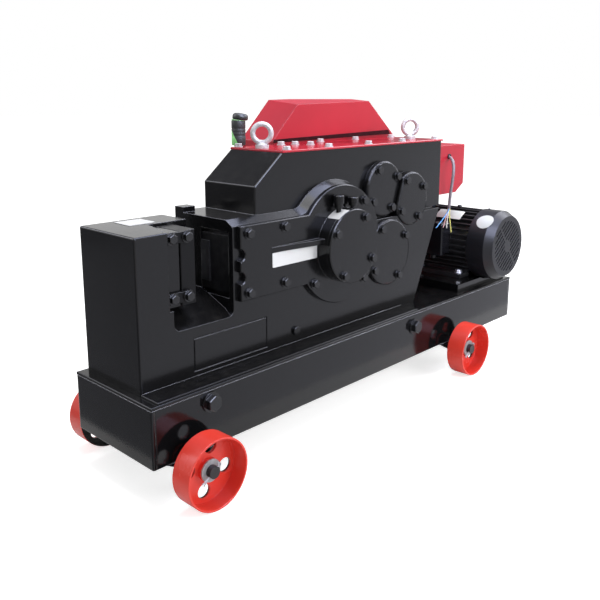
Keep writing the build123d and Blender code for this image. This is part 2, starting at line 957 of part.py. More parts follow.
def nameplate_recess():
    """A shallow panel in the bed's near face, with a border left standing round it."""
    x = [along(place) for place in nameplate_x]
    z = [over_deck(height) for height in nameplate_z]
    outer = block(x, (body_near - 1, body_near + nameplate_depth), z)
    inner = block(
        (x[0] + nameplate_border, x[1] - nameplate_border),
        (body_near - 2, body_near + nameplate_depth + 1),
        (z[0] + nameplate_border, z[1] - nameplate_border),
    )
    return outer - inner


def body_bolt_holes():
    """Threaded holes for the bolts that hold covers, straps and the top plate."""
    cuts = bolt_holes(slide_seats, NEAR, cover_bolt_thread, slide_grip + hole_run_out / 2)
    for seat, grip in zip(cover_seats[4:], cover_grips[4:]):
        cuts += bolt_holes([seat], NEAR, cover_bolt_thread, grip + hole_run_out)
    post_seats = [seat for seat in clamp_seats if seat[0] < member_end]
    cuts += bolt_holes(post_seats, NEAR, clamp_bolt_thread, clamp_grip + hole_run_out)
    cuts += bolt_holes(top_bolt_seats, UP, top_bolt_thread, top_bolt_grip + hole_run_out)
    cuts += eye_holes(body_top - eye_shank_length - hole_run_out)
    for (x, z), y in (
        (drain_plug_place, body_near),
        (level_plug_place, panel_back),
    ):
        spot = (along(x), over_deck(z))
        cuts.append(drum(spot, plug_thread_radius + bolt_clearance, (y - 1, y + plug_depth + hole_run_out)))
    return cuts


# Throat, blades and clamp


def blade_block(x, y):
    """A plain square-edged blade between two x and two y places."""
    return block(x, y, (blade_low, blade_high))


def fixed_blade():
    """The blade let into the far half of the post."""
    y = (shear_plane + side_gap, shear_plane + side_gap + blade_thickness)
    return blade_block((fixed_edge - blade_depth, fixed_edge), y)


def moving_edge():
    """X of the moving blade's edge with the ram drawn back."""
    return fixed_edge + bar_opening


def moving_blade_space():
    """The place of the moving blade in the ram's nose."""
    y = (shear_plane - blade_thickness, shear_plane)
    return blade_block((moving_edge(), moving_edge() + blade_depth), y)


def moving_blade_seats():
    """Seats of the two bolts that hold the moving blade, on its near side."""
    x = moving_edge() + blade_depth / 2
    y = shear_plane - blade_thickness
    return [(x, y, crank_centre[1] + side * blade_height / 4) for side in (-1, 1)]


def moving_blade():
    """The blade on the ram, with threaded holes for its bolts."""
    blade = moving_blade_space()
    for x, y, z in moving_blade_seats():
        blade -= drum((x, z), blade_bolt_thread / 2 + bolt_clearance, (y - 1, y + blade_thickness * 0.7))
    return blade


def blade_bolt_head_y():
    """Y of the counterbored seat of the blade bolts in the ram."""
    return ram_near + 2 * blade_bolt_thread


def moving_blade_bolts():
    """Socket screws from the ram's near side into the moving blade."""
    rows = []
    head_y = blade_bolt_head_y()
    for x, y, z in moving_blade_seats():
        head = drum((x, z), 0.8 * blade_bolt_thread, (head_y - blade_bolt_thread, head_y))
        hexagon = Pos(x, z) * RegularPolygon(0.45 * blade_bolt_thread, 6)
        socket = slab(hexagon, (head_y - blade_bolt_thread, head_y - 0.4 * blade_bolt_thread))
        shank = drum((x, z), blade_bolt_thread / 2, (head_y, y + blade_thickness * 0.6))
        rows.append(head - socket + shank)
    return rows


def blade_support_block():
    """The packing block beside the post that the straps clamp."""
    x = (block_left, block_left + block_length)
    piece = block(x, (member_near, shear_plane - 5), (member_low, member_top))
    piece = fillet(piece.edges().filter_by(Axis.Z), 3)
    block_seats = [seat for seat in clamp_seats if seat[0] > block_left]
    for cut in bolt_holes(block_seats, NEAR, clamp_bolt_thread, clamp_grip + hole_run_out):
        piece -= cut
    return piece


def clamp_straps():
    """Two flat straps across the post and the block."""
    rows = []
    for low in strap_lows:
        y = (member_near - strap_thickness, member_near)
        strap = block((strap_left, strap_right), y, (low, low + strap_height))
        strap = fillet(strap.edges().filter_by(Axis.Y), 4)
        for cut in bolt_holes(clamp_seats, NEAR, clamp_bolt_thread, clamp_grip):
            strap -= cut
        rows.append(strap)
    return rows


# Ram, crank and connecting rod


def ram():
    """The slide: blade pocket in its nose, rod pocket and pin windows behind."""
    body = block((ram_front, ram_rear), (ram_near, shear_plane), (ram_low, ram_high))
    body -= moving_blade_space()
    clear = 2.0
    sweep = 2 * crank_throw + clear
    half = small_end_radius + crank_throw + clear
    pocket_x = (wrist_centre[0] - small_end_radius - sweep, ram_rear + 1)
    pocket_y = (conrod_y[0] - clear / 2, conrod_y[1] + clear / 2)
    body -= block(pocket_x, pocket_y, (crank_centre[1] - half, crank_centre[1] + half))
    reach = wrist_pin_radius + sweep
    rise = wrist_pin_radius + crank_throw + clear
    body -= block(
        (wrist_centre[0] - reach, wrist_centre[0] + reach),
        (ram_near - 1, shear_plane + 1),
        (crank_centre[1] - rise, crank_centre[1] + rise),
    )
    head_y = blade_bolt_head_y()
    for x, y, z in moving_blade_seats():
        body -= drum((x, z), 0.8 * blade_bolt_thread + bolt_clearance, (ram_near - 1, head_y))
        body -= drum((x, z), blade_bolt_thread / 2 + bolt_clearance, (ram_near - 1, y + 1))
    return body


def ram_guides():
    """Bronze strips above and below the ram, and the gib behind the cover."""
    x = (slide_face + guide_inset, slide_face + guide_inset + guide_length)
    y = (ram_near, shear_plane)
    gap = sliding_clearance
    upper = block(x, y, (ram_high + gap, ram_high + guide_thickness + gap))
    lower = block(x, y, (ram_low - guide_thickness - gap, ram_low - gap))
    half = gib_height / 2 - gap
    gib = block(
        (along(gib_x[0]) + gap, along(gib_x[1]) - gap),
        (body_near, ram_near - gap),
        (crank_centre[1] - half, crank_centre[1] + half),
    )
    return [upper, lower, gib]


def crankshaft():
    """Two journals, the eccentric and the gear seat on one forged shaft."""
    start = boss_face + 4
    shaft = drum(crank_centre, crank_journal_radius, (start, conrod_y[0] - 2))
    shaft += drum(crank_centre, crank_journal_radius + 1, (conrod_y[0] - 4, conrod_y[0]))
    shaft += drum(eccentric_centre, eccentric_radius, (conrod_y[0] - 1, conrod_y[1] + 1))
    shaft += drum(crank_centre, crank_shaft_radius, (conrod_y[1], across(third_plane[1])))
    shaft += drum(crank_centre, crank_journal_radius, (conrod_y[1], body_far - 2))
    return shaft


def conrod():
    """The connecting rod, from the eccentric to the wrist pin."""
    big = eccentric_radius + conrod_wall
    face = disc(eccentric_centre, big) + disc(wrist_centre, small_end_radius)
    face += outline(
        (wrist_centre[0], wrist_centre[1] - rod_shank_half),
        (eccentric_centre[0], eccentric_centre[1] - rod_shank_end_half),
        (eccentric_centre[0], eccentric_centre[1] + rod_shank_end_half),
        (wrist_centre[0], wrist_centre[1] + rod_shank_half),
    )
    face -= disc(eccentric_centre, eccentric_radius + running_clearance)
    face -= disc(wrist_centre, wrist_pin_radius + sliding_clearance)
    return slab(face, conrod_y)


def wrist_pin():
    """The pin in the rod's small end, which reaches into the ram's windows."""
    middle = (conrod_y[0] + conrod_y[1]) / 2
    half = wrist_pin_length / 2
    return drum(wrist_centre, wrist_pin_radius, (middle - half, middle + half))


# Gears and shafts


def gear_face(centre, teeth, module, turn):
    """A toothed outline with straight flanks and one tooth pointing along turn."""
    pitch_radius = teeth * module / 2
    half_tooth = tooth_share * math.pi * module / 2
    slope = math.tan(math.radians(pressure_angle))
    points = []
    for tooth in range(teeth):
        middle = turn + 360 * tooth / teeth
        for rise, side in ((-dedendum, -1), (addendum, -1), (addendum, 1), (-dedendum, 1)):
            radius = pitch_radius + rise * module
            half_width = half_tooth - rise * module * slope
            points.append(on_circle(centre, radius, middle + side * math.degrees(half_width / radius)))
    return outline(*points)


def facing_gap(teeth, direction):
    """The turn of a gear whose gap, not a tooth, points along a direction."""
    return direction + 180 / teeth


def keyed_gear(centre, teeth, module, turn, bore, plane):
    """A wide gear with a thinner web between its rim and hub."""
    y = (across(plane[0]), across(plane[1]))
    root = (teeth / 2 - dedendum) * module
    gear = slab(gear_face(centre, teeth, module, turn) - disc(centre, bore + sliding_clearance), y)
    recess = (y[1] - y[0]) * (1 - gear_web_share) / 2
    rim_inner = root - 2.5 * module
    hub_outer = bore * 1.5
    for side in ((y[0] - 1, y[0] + recess), (y[1] - recess, y[1] + 1)):
        gear -= ring(centre, rim_inner, hub_outer, side)
    return gear


def pinion_shaft(centre, journal, seat, y, seat_y, teeth, module, turn, plane):
    """A stepped shaft with its pinion cut on it."""
    shaft = drum(centre, journal, y) + drum(centre, seat, seat_y)
    return shaft + slab(gear_face(centre, teeth, module, turn), (across(plane[0]), across(plane[1])))


def input_shaft():
    """The first shaft: pinion inside, pulley seat outside the far wall."""
    y = (panel_back - 6, across(pulley_start) + pulley_width())
    seat_y = (across(first_plane[0]) - 4, across(third_plane[1]))
    return pinion_shaft(
        input_centre, input_shaft_radius, input_shaft_radius + seat_step, y, seat_y,
        input_teeth, first_module, input_direction + 180, first_plane,
    )


def second_shaft():
    """The second shaft: gear seat, then its pinion."""
    y = (panel_back - 2, body_far - 2)
    seat_y = (across(first_plane[0]), across(third_plane[1]))
    return pinion_shaft(
        second_centre, second_shaft_radius, second_shaft_radius + seat_step, y, seat_y,
        second_pinion_teeth, second_module, second_direction + 180, second_plane,
    )


def second_gear():
    """The gear that the input pinion drives."""
    turn = facing_gap(second_gear_teeth, input_direction)
    bore = second_shaft_radius + seat_step
    return keyed_gear(second_centre, second_gear_teeth, first_module, turn, bore, first_plane)


def third_shaft():
    """The third shaft: gear seat, then the pinion for the crank gear."""
    y = (body_near + 6, body_far - 2)
    seat_y = (across(first_plane[0]), across(third_plane[1]))
    return pinion_shaft(
        third_centre, third_shaft_radius, third_shaft_radius + seat_step, y, seat_y,
        third_pinion_teeth, third_module, third_direction + 180, third_plane,
    )


def third_gear():
    """The gear that the second pinion drives."""
    turn = facing_gap(third_gear_teeth, second_direction)
    bore = third_shaft_radius + seat_step
    return keyed_gear(third_centre, third_gear_teeth, second_module, turn, bore, second_plane)


def crank_gear():
    """The large gear keyed on the crankshaft."""
    turn = facing_gap(crank_gear_teeth, third_direction)
    return keyed_gear(crank_centre, crank_gear_teeth, third_module, turn, crank_shaft_radius, third_plane)


def shaft_bushes():
    """Bronze bushes in the near and far walls, and the two crank bushes."""
    rows = []
    for (centre, radius), start in zip(shaft_rows(), (panel_back, panel_back, body_near)):
        for y in ((start, near_inner), (far_inner, body_far)):
            rows.append(ring(centre, radius + bush_wall - sliding_clearance, radius + running_clearance, y))
    outer = crank_journal_radius + crank_bush_wall - sliding_clearance
    inner = crank_journal_radius + running_clearance
    rows.append(ring(crank_centre, outer, inner, (boss_face + 2, near_inner - 2)))
    rows.append(ring(crank_centre, outer, inner, (far_inner, body_far)))
    return rows


# Covers


def slide_cover():
    """The slide and crank cover: plate, round flange, boss and rib in one casting."""
    left = along(cover_left_inset)
    low = over_deck(cover_low)
    face = outline(
        (left, low),
        (crank_centre[0] - flange_radius / 2, low),
        (crank_centre[0] - flange_radius / 2, low + cover_height),
        (left, low + cover_height),
    )
    face += disc(crank_centre, flange_radius)
    for height in scallop_heights:
        face -= disc((left, over_deck(height)), scallop_radius)
    face -= disc(third_centre, large_cover_radius + seam_gap)
    cover = slab(face, (cover_face, body_near))
    rim = [edge for edge in cover.faces().sort_by(Axis.Y)[0].edges()]
    cover = chamfer(rim, cover_round)
    cover += drum(crank_centre, crank_boss_radius, (boss_face, cover_face + 1))
    cover += drum(crank_centre, crank_bore_radius - side_gap, (body_near - 1, body_near + spigot_depth))
    cover += drum(crank_centre, inner_boss_radius, (body_near - 1, near_inner - 2))
    cover += cover_rib()
    cover -= drum(crank_centre, crank_journal_radius + crank_bush_wall, (boss_face - 1, near_inner))
    for cut in bolt_holes(slide_seats, NEAR, cover_bolt_thread, cover_plate_thickness + 2):
        cover -= cut
    crank_seats = at_depth(crank_points, boss_face - crank_cover_thickness)
    for cut in bolt_holes(crank_seats, NEAR, cover_bolt_thread, cover_grips[0] + 2):
        cover -= cut
    for offset, _ in oil_cup_places:
        x, y, z = oil_cup_seat(offset)
        hole_z = (z - oil_cup_thread_depth - hole_run_out, z + oil_cup_radius)
        cover -= post(x, y, oil_cup_thread_radius + bolt_clearance, hole_z)
    return cover


def cover_rib():
    """A wedge on the cover that rises towards the crank boss."""
    start = along(rib_start)
    end = crank_centre[0] - crank_boss_radius / 2
    low = over_deck(rib_height) - rib_width
    wedge = Polygon((start, cover_face + 1), (end, cover_face + 1), (end, cover_face - rib_rise), align=None)
    return extrude(Plane.XY.offset(low) * wedge, amount=rib_width, dir=UP)


def round_cover(centre, radius, y, seats, grip):
    """A round cover with its bolt holes and an eased outer edge."""
    cover = drum(centre, radius, y)
    cover = chamfer(cover.faces().sort_by(Axis.Y)[0].edges(), cover_round)
    for cut in bolt_holes(seats, NEAR, cover_bolt_thread, grip):
        cover -= cut
    return cover


def far_cap(centre, radius, bore):
    """A plain cover on the far wall, with a hole where a shaft leaves."""
    y = (body_far, body_far + far_cover_thickness)
    cap = drum(centre, radius + far_cover_margin, y)
    cap = chamfer(cap.faces().sort_by(Axis.Y)[-1].edges(), cover_round)
    return cap - drum(centre, bore, y) if bore else cap


def crank_covers():
    """Covers at both ends of the crankshaft."""
    y = (boss_face - crank_cover_thickness, boss_face)
    near = round_cover(crank_centre, crank_boss_radius, y, at_depth(crank_points, y[0]), cover_grips[0])
    return [near, far_cap(crank_centre, crank_journal_radius + crank_bush_wall, 0)]


def third_covers():
    """Covers at both ends of the third shaft."""
    y = (body_near - third_cover_thickness, body_near)
    near = round_cover(third_centre, large_cover_radius, y, at_depth(third_points, y[0]), cover_grips[4])
    return [near, far_cap(third_centre, third_shaft_radius + bush_wall, 0)]


def split_between(piece, centre, other):
    """Cuts a flat on a cover, halfway to the one beside it."""
    turn = math.atan2(other[1] - centre[1], other[0] - centre[0])
    distance = math.dist(centre, other) / 2 - seam_gap
    half = 2 * small_cover_radius
    spot = on_circle(centre, distance + half, math.degrees(turn))
    face = Pos(*spot) * Rot(0, 0, math.degrees(turn)) * Rectangle(2 * half, 4 * half)
    return piece - slab(face, (panel_back - input_cover_thickness - 1, panel_back + 1))


def second_covers():
    """Covers at both ends of the second shaft."""
    y = (panel_back - second_cover_thickness, panel_back)
    near = round_cover(second_centre, small_cover_radius, y, at_depth(second_points, y[0]), cover_grips[8])
    near = split_between(near, second_centre, input_centre)
    near -= drum(second_centre, second_shaft_radius + bush_wall, (panel_back - 4, panel_back))
    return [near, far_cap(second_centre, second_shaft_radius + bush_wall, 0)]


def input_covers():
    """The cover on the input shaft's near end and the seal cover it leaves through."""
    y = (panel_back - input_cover_thickness, panel_back)
    near = round_cover(input_centre, small_cover_radius, y, at_depth(input_points, y[0]), cover_grips[12])
    near = split_between(near, input_centre, second_centre)
    near -= drum(input_centre, input_shaft_radius + bush_wall, (panel_back - 8, panel_back))
    return [near, far_cap(input_centre, input_shaft_radius + bush_wall, input_shaft_radius + side_gap)]


def cover_bolts():
    """The bolts of the slide cover and of the four round covers."""
    rows = bolts(slide_seats, NEAR, cover_bolt_thread, slide_grip)
    for seat, grip in zip(cover_seats, cover_grips):
        rows += bolts([seat], NEAR, cover_bolt_thread, grip)
    return rows


# Top plate and fittings


def top_plate():
    """The red plate that closes the gear housing."""
    x = (chamfer_x, body_right + top_plate_overhang)
    y = (panel_back - top_plate_overhang, body_far)
    plate = block(x, y, (body_top, plate_top))
    plate = chamfer(plate.edges().group_by(Axis.Z)[-1], 1.5)
    for cut in bolt_holes(top_bolt_seats + middle_bolt_seats, UP, top_bolt_thread, top_bolt_grip):
        plate -= cut
    for cut in eye_holes(body_top - 1):
        plate -= cut
    return plate


def top_plate_bolts():
    """The bolts along both edges of the plate, and three short ones in its middle."""
    rows = bolts(top_bolt_seats, UP, top_bolt_thread, top_bolt_grip)
    return rows + bolts(middle_bolt_seats, UP, top_bolt_thread, middle_bolt_grip)


def eye_holes(low):
    """Holes for the lifting eyes' shanks, from over the plate down to a height."""
    radius = eye_shank_radius + bolt_clearance
    return [post(along(x), panel_back + y, radius, (low, plate_top + 1)) for x, y in eye_places]


def lifting_eyes():
    """Two forged eyes with collars, screwed into the plate."""
    rows = []
    foot = plate_top + eye_foot_height
    centre = foot + eye_neck + eye_hole_radius
    for (x, y), turn in zip(eye_places, eye_turns):
        eye = Pos(0, 0, centre) * Rot(90, 0, 0) * Torus(eye_ring_radius, eye_wire_radius)
        eye += post(0, 0, eye_foot_radius, (plate_top, foot))
        neck = (foot + centre - eye_ring_radius) / 2
        eye += Pos(0, 0, neck) * Cone(eye_foot_radius * 0.8, eye_wire_radius * 1.3, 2 * (neck - foot))
        eye += post(0, 0, eye_shank_radius, (body_top - eye_shank_length, plate_top))
        eye -= Pos(0, 0, centre) * Rot(90, 0, 0) * Cylinder(eye_hole_radius, 4 * eye_wire_radius)
        rows.append(Pos(along(x), panel_back + y, 0) * Rot(0, 0, -turn) * eye)
    return rows


def oil_cup_seat(offset):
    """Where an oil cup stands on the crank boss, at an offset from the crank's centre."""
    rise = math.sqrt(crank_boss_radius ** 2 - offset ** 2)
    return (crank_centre[0] + offset, (boss_face + cover_face) / 2, crank_centre[1] + rise)


def oil_fittings():
    """Two oil cups on the crank boss, drain plug and level plug."""
    rows = []
    for offset, height in oil_cup_places:
        x, y, z = oil_cup_seat(offset)
        cup = post(x, y, oil_cup_thread_radius, (z - oil_cup_thread_depth, z + 0.6 * height))
        cup += post(x, y, 0.8 * oil_cup_radius, (z + 0.25 * height, z + 0.6 * height))
        cap = post(x, y, oil_cup_radius, (z + 0.5 * height, z + height))
        rows.append(cup + chamfer(cap.faces().sort_by(Axis.Z)[-1].edges(), oil_cup_edge))
    for (px, pz), face, radius in (
        (drain_plug_place, body_near, plug_radius),
        (level_plug_place, panel_back, level_plug_radius),
    ):
        centre = (along(px), over_deck(pz))
        plug = drum(centre, plug_thread_radius, (face - 1, face + plug_depth))
        rows.append(plug + drum(centre, radius, (face - plug_head, face)))
    return rows


# Belt drive


def pulley_width():
    """Width of both pulleys."""
    return (belt_count - 1) * belt_pitch + 2 * pulley_edge


def belt_middles():
    """Y of the middle of each belt."""
    return [across(pulley_start) + pulley_edge + belt_pitch * row for row in range(belt_count)]


def grooved_rim(centre, pitch_radius):
    """A drum with a vee groove for each belt."""
    outer = pitch_radius + belt_height / 2
    y = (across(pulley_start), across(pulley_start) + pulley_width())
    rim = drum(centre, outer, y)
    half_floor = belt_width / 2 + belt_clearance
    half_mouth = half_floor + 3
    for middle in belt_middles():
        groove = Polygon(
            (outer - groove_depth, middle - half_floor),
            (outer + 1, middle - half_mouth),
            (outer + 1, middle + half_mouth),
            (outer - groove_depth, middle + half_floor),
            align=None,
        )
        cut = revolve(Plane.XY * groove, axis=Axis.Y)
        rim -= Pos(centre[0], 0, centre[1]) * cut
    return rim


def flywheel_pulley():
    """The large driven pulley, which is also the flywheel."""
    y = (across(pulley_start), across(pulley_start) + pulley_width())
    inner = flywheel_pitch_radius - flywheel_rim
    wheel_body = grooved_rim(input_centre, flywheel_pitch_radius)
    recess = (pulley_width() - flywheel_web) / 2
    for side in ((y[0] - 1, y[0] + recess), (y[1] - recess, y[1] + 1)):
        wheel_body -= ring(input_centre, inner, flywheel_hub_radius, side)
    return wheel_body - drum(input_centre, input_shaft_radius + sliding_clearance, (y[0] - 1, y[1] + 1))


def motor_pulley():
    """The small driving pulley on the motor shaft."""
    y = (across(pulley_start) - 1, across(pulley_start) + pulley_width() + 1)
    pulley = grooved_rim(motor_centre, motor_pulley_pitch_radius)
    return pulley - drum(motor_centre, motor_shaft_radius + sliding_clearance, y)


def drive_belts():
    """Closed belts round the two pulleys."""
    rows = []
    inset = groove_depth - belt_clearance - belt_height / 2

    def loop(offset):
        """The outline of a belt's face, at an offset from the pitch line."""
        return make_hull(
            [
                *disc(input_centre, flywheel_pitch_radius + offset).edges(),
                *disc(motor_centre, motor_pulley_pitch_radius + offset).edges(),
            ]
        )

    face = loop(belt_height - inset) - loop(-inset)
    for middle in belt_middles():
        rows.append(slab(face, (middle - belt_width / 2, middle + belt_width / 2)))
    return rows


def guard_points(inset):
    """The guard's side view, drawn in by an inset, set round the flywheel."""
    top = input_centre[1] + flywheel_outer + guard_top_clearance - inset
    low = input_centre[1] - flywheel_outer - guard_foot_clearance + inset
    left = along(guard_left_x) + inset
    right = along(guard_right_x) - inset
    slope = inset * math.tan(math.radians(22.5))
    shoulder = over_deck(guard_shoulder_height)
    turn = math.radians(90 - guard_slope_angle)
    reach = flywheel_outer + guard_slope_clearance - inset
    top_end = input_centre[0] + (reach - (top - input_centre[1]) * math.sin(turn)) / math.cos(turn)
    right_top = input_centre[1] + (reach - (right - input_centre[0]) * math.cos(turn)) / math.sin(turn)
    face = outline(
        (along(guard_top_start) + slope, top),
        (top_end, top),
        (right, right_top),
        (right, low + guard_cut / 4),
        (right - guard_cut / 4, low),
        (left + guard_cut, low),
        (left, low + guard_cut),
        (left, shoulder - slope),
    )
    return fillet(face.vertices(), guard_round - inset)


def over_lid(inset):
    """Everything over the hood's tilted lid, drawn in by an inset."""
    left, right = [Vector(along(x), across(guard_start), over_deck(z)) for x, z in guard_lid_edge]
    far = Vector(left.X, across(guard_start) + guard_depth, over_deck(guard_lid_far_height))
    lid = Plane(left, x_dir=right - left, z_dir=(right - left).cross(far - left)).offset(-inset)
    return lid * (Pos(0, 0, guard_depth) * Box(base_length, base_length, 2 * guard_depth))


def belt_guard():
    """The red hood: a rim and a far wall of sheet."""
    start = across(guard_start) + guard_sheet
    end = across(guard_start) + guard_depth
    hollow = slab(guard_points(guard_sheet), (start - 1, end - guard_sheet)) - over_lid(guard_sheet)
    shell = slab(guard_points(0), (start, end))
    shell = fillet(shell.faces().sort_by(Axis.Y)[-1].edges(), guard_edge_round) - over_lid(0) - hollow
    for place in guard_stud_xz:
        shell -= drum(place, guard_stud_radius + bolt_clearance, (end - guard_sheet - 1, end + 1))
    return shell


def guard_back():
    """The guard's back sheet, bolted to pads on the body."""
    y = (across(guard_start), across(guard_start) + guard_sheet)
    face = guard_points(0)
    face -= disc(input_centre, input_shaft_radius + bush_wall + far_cover_margin + 4)
    face -= disc(motor_centre, shield_boss_radius + 6)
    for place in guard_stud_xz:
        face -= disc(place, guard_stud_radius + bolt_clearance)
    return slab(face, y) - over_lid(0)


def guard_studs():
    """Long studs from the back sheet to the hood, with flat heads outside and collars inside."""
    rows = []
    sheet = across(guard_start) + guard_sheet
    end = across(guard_start) + guard_depth
    for index, place in enumerate(guard_stud_xz):
        start = (body_far if index < 3 else across(guard_start)) - guard_stud_depth
        stud = drum(place, guard_stud_radius, (start, end + 1))
        stud += drum(place, 2 * guard_stud_radius, (end, end + guard_screw_head))
        stud += drum(place, 2 * guard_stud_radius, (sheet, end - guard_sheet))
        rows.append(stud)
    return rows


# Motor


def motor_frame():
    """The finned stator frame with its feet and its terminal pad."""
    y = (across(motor_body_start), across(motor_body_start) + motor_body_length)
    frame = drum(motor_centre, motor_body_radius, y)
    for fin in range(motor_fin_count):
        turn = 360 * fin / motor_fin_count
        if abs(turn - 270) < foot_clear_angle:
            continue
        length = motor_fin_radius - motor_body_radius + 4
        middle = on_circle(motor_centre, motor_fin_radius - length / 2, turn)
        face = Pos(*middle) * Rot(0, 0, turn) * Rectangle(length, motor_fin_width)
        frame += slab(face, y)
    foot_low = over_deck(motor_rail_height)
    foot_y = (foot_bolt_seats[0][1] - foot_ends[0], foot_bolt_seats[1][1] + foot_ends[1])
    for side in (-1, 1):
        middle = motor_centre[0] + side * foot_spacing_x / 2
        half = foot_pad_width / 2
        frame += block((middle - half, middle + half), foot_y, (foot_low, foot_low + foot_thickness))
        inner = motor_centre[0] + side * foot_web_reach
        web_x = sorted((inner, inner + side * foot_web_thickness))
        frame += block(web_x, foot_y, (foot_low, motor_centre[1] - motor_body_radius * 0.6))
    pad_low = motor_centre[1] + terminal_box_rise
    pad_y = (
        across(terminal_box_y) + terminal_pad_inset,
        across(terminal_box_y) + terminal_box_size[1] - terminal_pad_inset,
    )
    pad_z = (pad_low + terminal_pad_inset, pad_low + terminal_box_size[2] - terminal_pad_inset)
    frame += block((terminal_face(), motor_centre[0] - motor_body_radius * 0.5), pad_y, pad_z)
    frame -= drum(motor_centre, rotor_radius + air_gap, (y[0] - 1, y[1] + 1))
    for cut in bolt_holes(foot_bolt_seats, UP, foot_bolt_thread, foot_thickness + 2):
        frame -= cut
    return frame


def terminal_face():
    """X of the pad that the terminal box stands on."""
    return motor_centre[0] - motor_fin_radius - 2


def motor_shields():
    """The two end shields that hold the rotor's bearings."""
    start = across(motor_body_start)
    end = start + motor_body_length
    bore = motor_shaft_radius + running_clearance
    rear = drum(motor_centre, motor_body_radius + 4, (start - shield_thickness, start))
    rear += drum(motor_centre, shield_boss_radius * 0.7, (start - shield_thickness - 6, start))
    rear -= drum(motor_centre, bore, (start - 40, start + 1))
    front = drum(motor_centre, motor_body_radius + 6, (end, end + drive_shield_depth * 0.4))
    front = chamfer(front.faces().sort_by(Axis.Y)[-1].edges(), 8)
    front += drum(motor_centre, shield_boss_radius, (end, end + drive_shield_depth))
    front = fillet(front.faces().sort_by(Axis.Y)[-1].edges(), 4)
    front -= drum(motor_centre, bore, (end - 1, end + drive_shield_depth + 1))
    return [rear, front]


def fan_cover_profile(inset):
    """Half the cover's section as (radius, y), drawn in by the sheet."""
    face = across(-fan_cover_face_depth) + inset
    end = across(motor_body_start) + fan_cover_overlap - shield_thickness + (1 if inset else 0)
    outer = fan_cover_radius - inset
    return Polygon(
        (0, face),
        (fan_cover_face_radius - inset, face),
        (outer, face + fan_cover_chamfer),
        (outer, end),
        (0, end),
        align=None,
    )


def fan_cover():
    """The pressed fan cover with slanted slots in its face."""
    shell = revolve(Plane.XY * (fan_cover_profile(0) - fan_cover_profile(fan_cover_sheet)), axis=Axis.Y)
    shell = Pos(motor_centre[0], 0, motor_centre[1]) * shell
    face_y = across(-fan_cover_face_depth)
    slots = Sketch()
    count = int(grille_radius / grille_pitch)
    for row in range(-count, count + 1):
        offset = row * grille_pitch
        half = math.sqrt(max(grille_radius ** 2 - offset ** 2, 0)) - grille_bar
        if half > grille_slot:
            slots += Pos(0, offset) * Rectangle(2 * half, grille_slot)
    slots -= Rectangle(grille_bar, 4 * grille_radius)
    slots -= Circle(2.6 * grille_bar)
    turned = Pos(*motor_centre) * Rot(0, 0, 38) * slots
    shell -= slab(turned, (face_y - 1, face_y + fan_cover_sheet + 1))
    seat = ring(motor_centre, fan_cover_radius - fan_cover_sheet / 2, motor_body_radius + 4, fan_seat_y())
    return shell + seat


def fan_seat_y():
    """Y of the inner ring that seats the fan cover on the rear shield."""
    start = across(motor_body_start)
    return (start - shield_thickness, start - shield_thickness + 6)


def motor_rotor():
    """Rotor core on its shaft, and the cooling fan behind it."""
    start = across(motor_body_start)
    end = start + motor_body_length
    shaft_y = (across(-fan_cover_face_depth) + fan_cover_sheet + 8, across(pulley_start) + pulley_width() - 6)
    rotor = drum(motor_centre, motor_shaft_radius, shaft_y)
    rotor += drum(motor_centre, rotor_radius, (start + 20, end - 20))
    fan_y = (shaft_y[0] + 2, start - shield_thickness - 12)
    hub = 2 * motor_shaft_radius
    fan = ring(motor_centre, hub, motor_shaft_radius + sliding_clearance, fan_y)
    fan += ring(motor_centre, fan_radius, hub - 1, (fan_y[1] - 4, fan_y[1]))
    for blade in range(fan_blade_count):
        turn = 360 * blade / fan_blade_count
        middle = on_circle(motor_centre, (fan_radius + hub) / 2 - 1, turn)
        fan += slab(Pos(*middle) * Rot(0, 0, turn) * Rectangle(fan_radius - hub + 2, 4), fan_y)
    return [rotor, fan]


def motor_rails():
    """The raised tray that the motor's feet are bolted to."""
    x = [along(place) for place in rail_x]
    y = [across(place) for place in rail_y]
    tray = block(x, y, (deck_top, over_deck(motor_rail_height)))
    tray -= block(
        (x[0] + rail_wall, x[1] - rail_wall), (y[0] + rail_wall, y[1] - rail_wall),
        (deck_top - 1, over_deck(motor_rail_height) - rail_wall),
    )
    hollow_end = across(motor_body_start) + fan_cover_overlap + 6
    tray -= drum(motor_centre, fan_cover_radius + 4, (y[0] - 1, hollow_end))
    for cut in bolt_holes(foot_bolt_seats, UP, foot_bolt_thread, foot_bolt_grip + 4):
        tray -= cut
    return tray


def terminal_box():
    """The box for the motor's leads, with its lid and gland."""
    face = terminal_face()
    x = (face - terminal_box_size[0], face)
    y = (across(terminal_box_y), across(terminal_box_y) + terminal_box_size[1])
    z = (motor_centre[1] + terminal_box_rise, motor_centre[1] + terminal_box_rise + terminal_box_size[2])
    split = x[0] + terminal_box_size[0] / 4
    box = block((split, x[1]), y, z)
    box = fillet(box.edges().filter_by(Axis.X), 6)
    lid = block((x[0], split), [y[0] - 2, y[1] + 2], [z[0] - 2, z[1] + 2])
    lid = fillet(lid.edges().filter_by(Axis.X), 7)
    lid = chamfer(lid.faces().sort_by(Axis.X)[0].edges(), 3)
    gland_x = (split + x[1]) / 2
    gland = post(gland_x, (y[0] + y[1]) / 2, 11, (z[0] - 16, z[0]))
    return [box + gland, lid]


# Switch box, buttons and lead


def switch_outline(inset):
    """The box's side view: its left side stands against the body's end wall."""
    low = over_deck(switch_box_z[0]) + inset
    high = over_deck(switch_box_z[1]) - inset
    end = along(switch_box_end) - inset
    wide, tall = switch_box_cut
    face = outline(
        (body_right + inset, low),
        (end - wide + inset / 3, low),
        (end, low + tall - inset / 3),
        (end, high),
        (body_right + inset, high),
    )
    bends = face.vertices().sort_by(Axis.X)[2:]
    return fillet(bends, switch_box_round - inset)


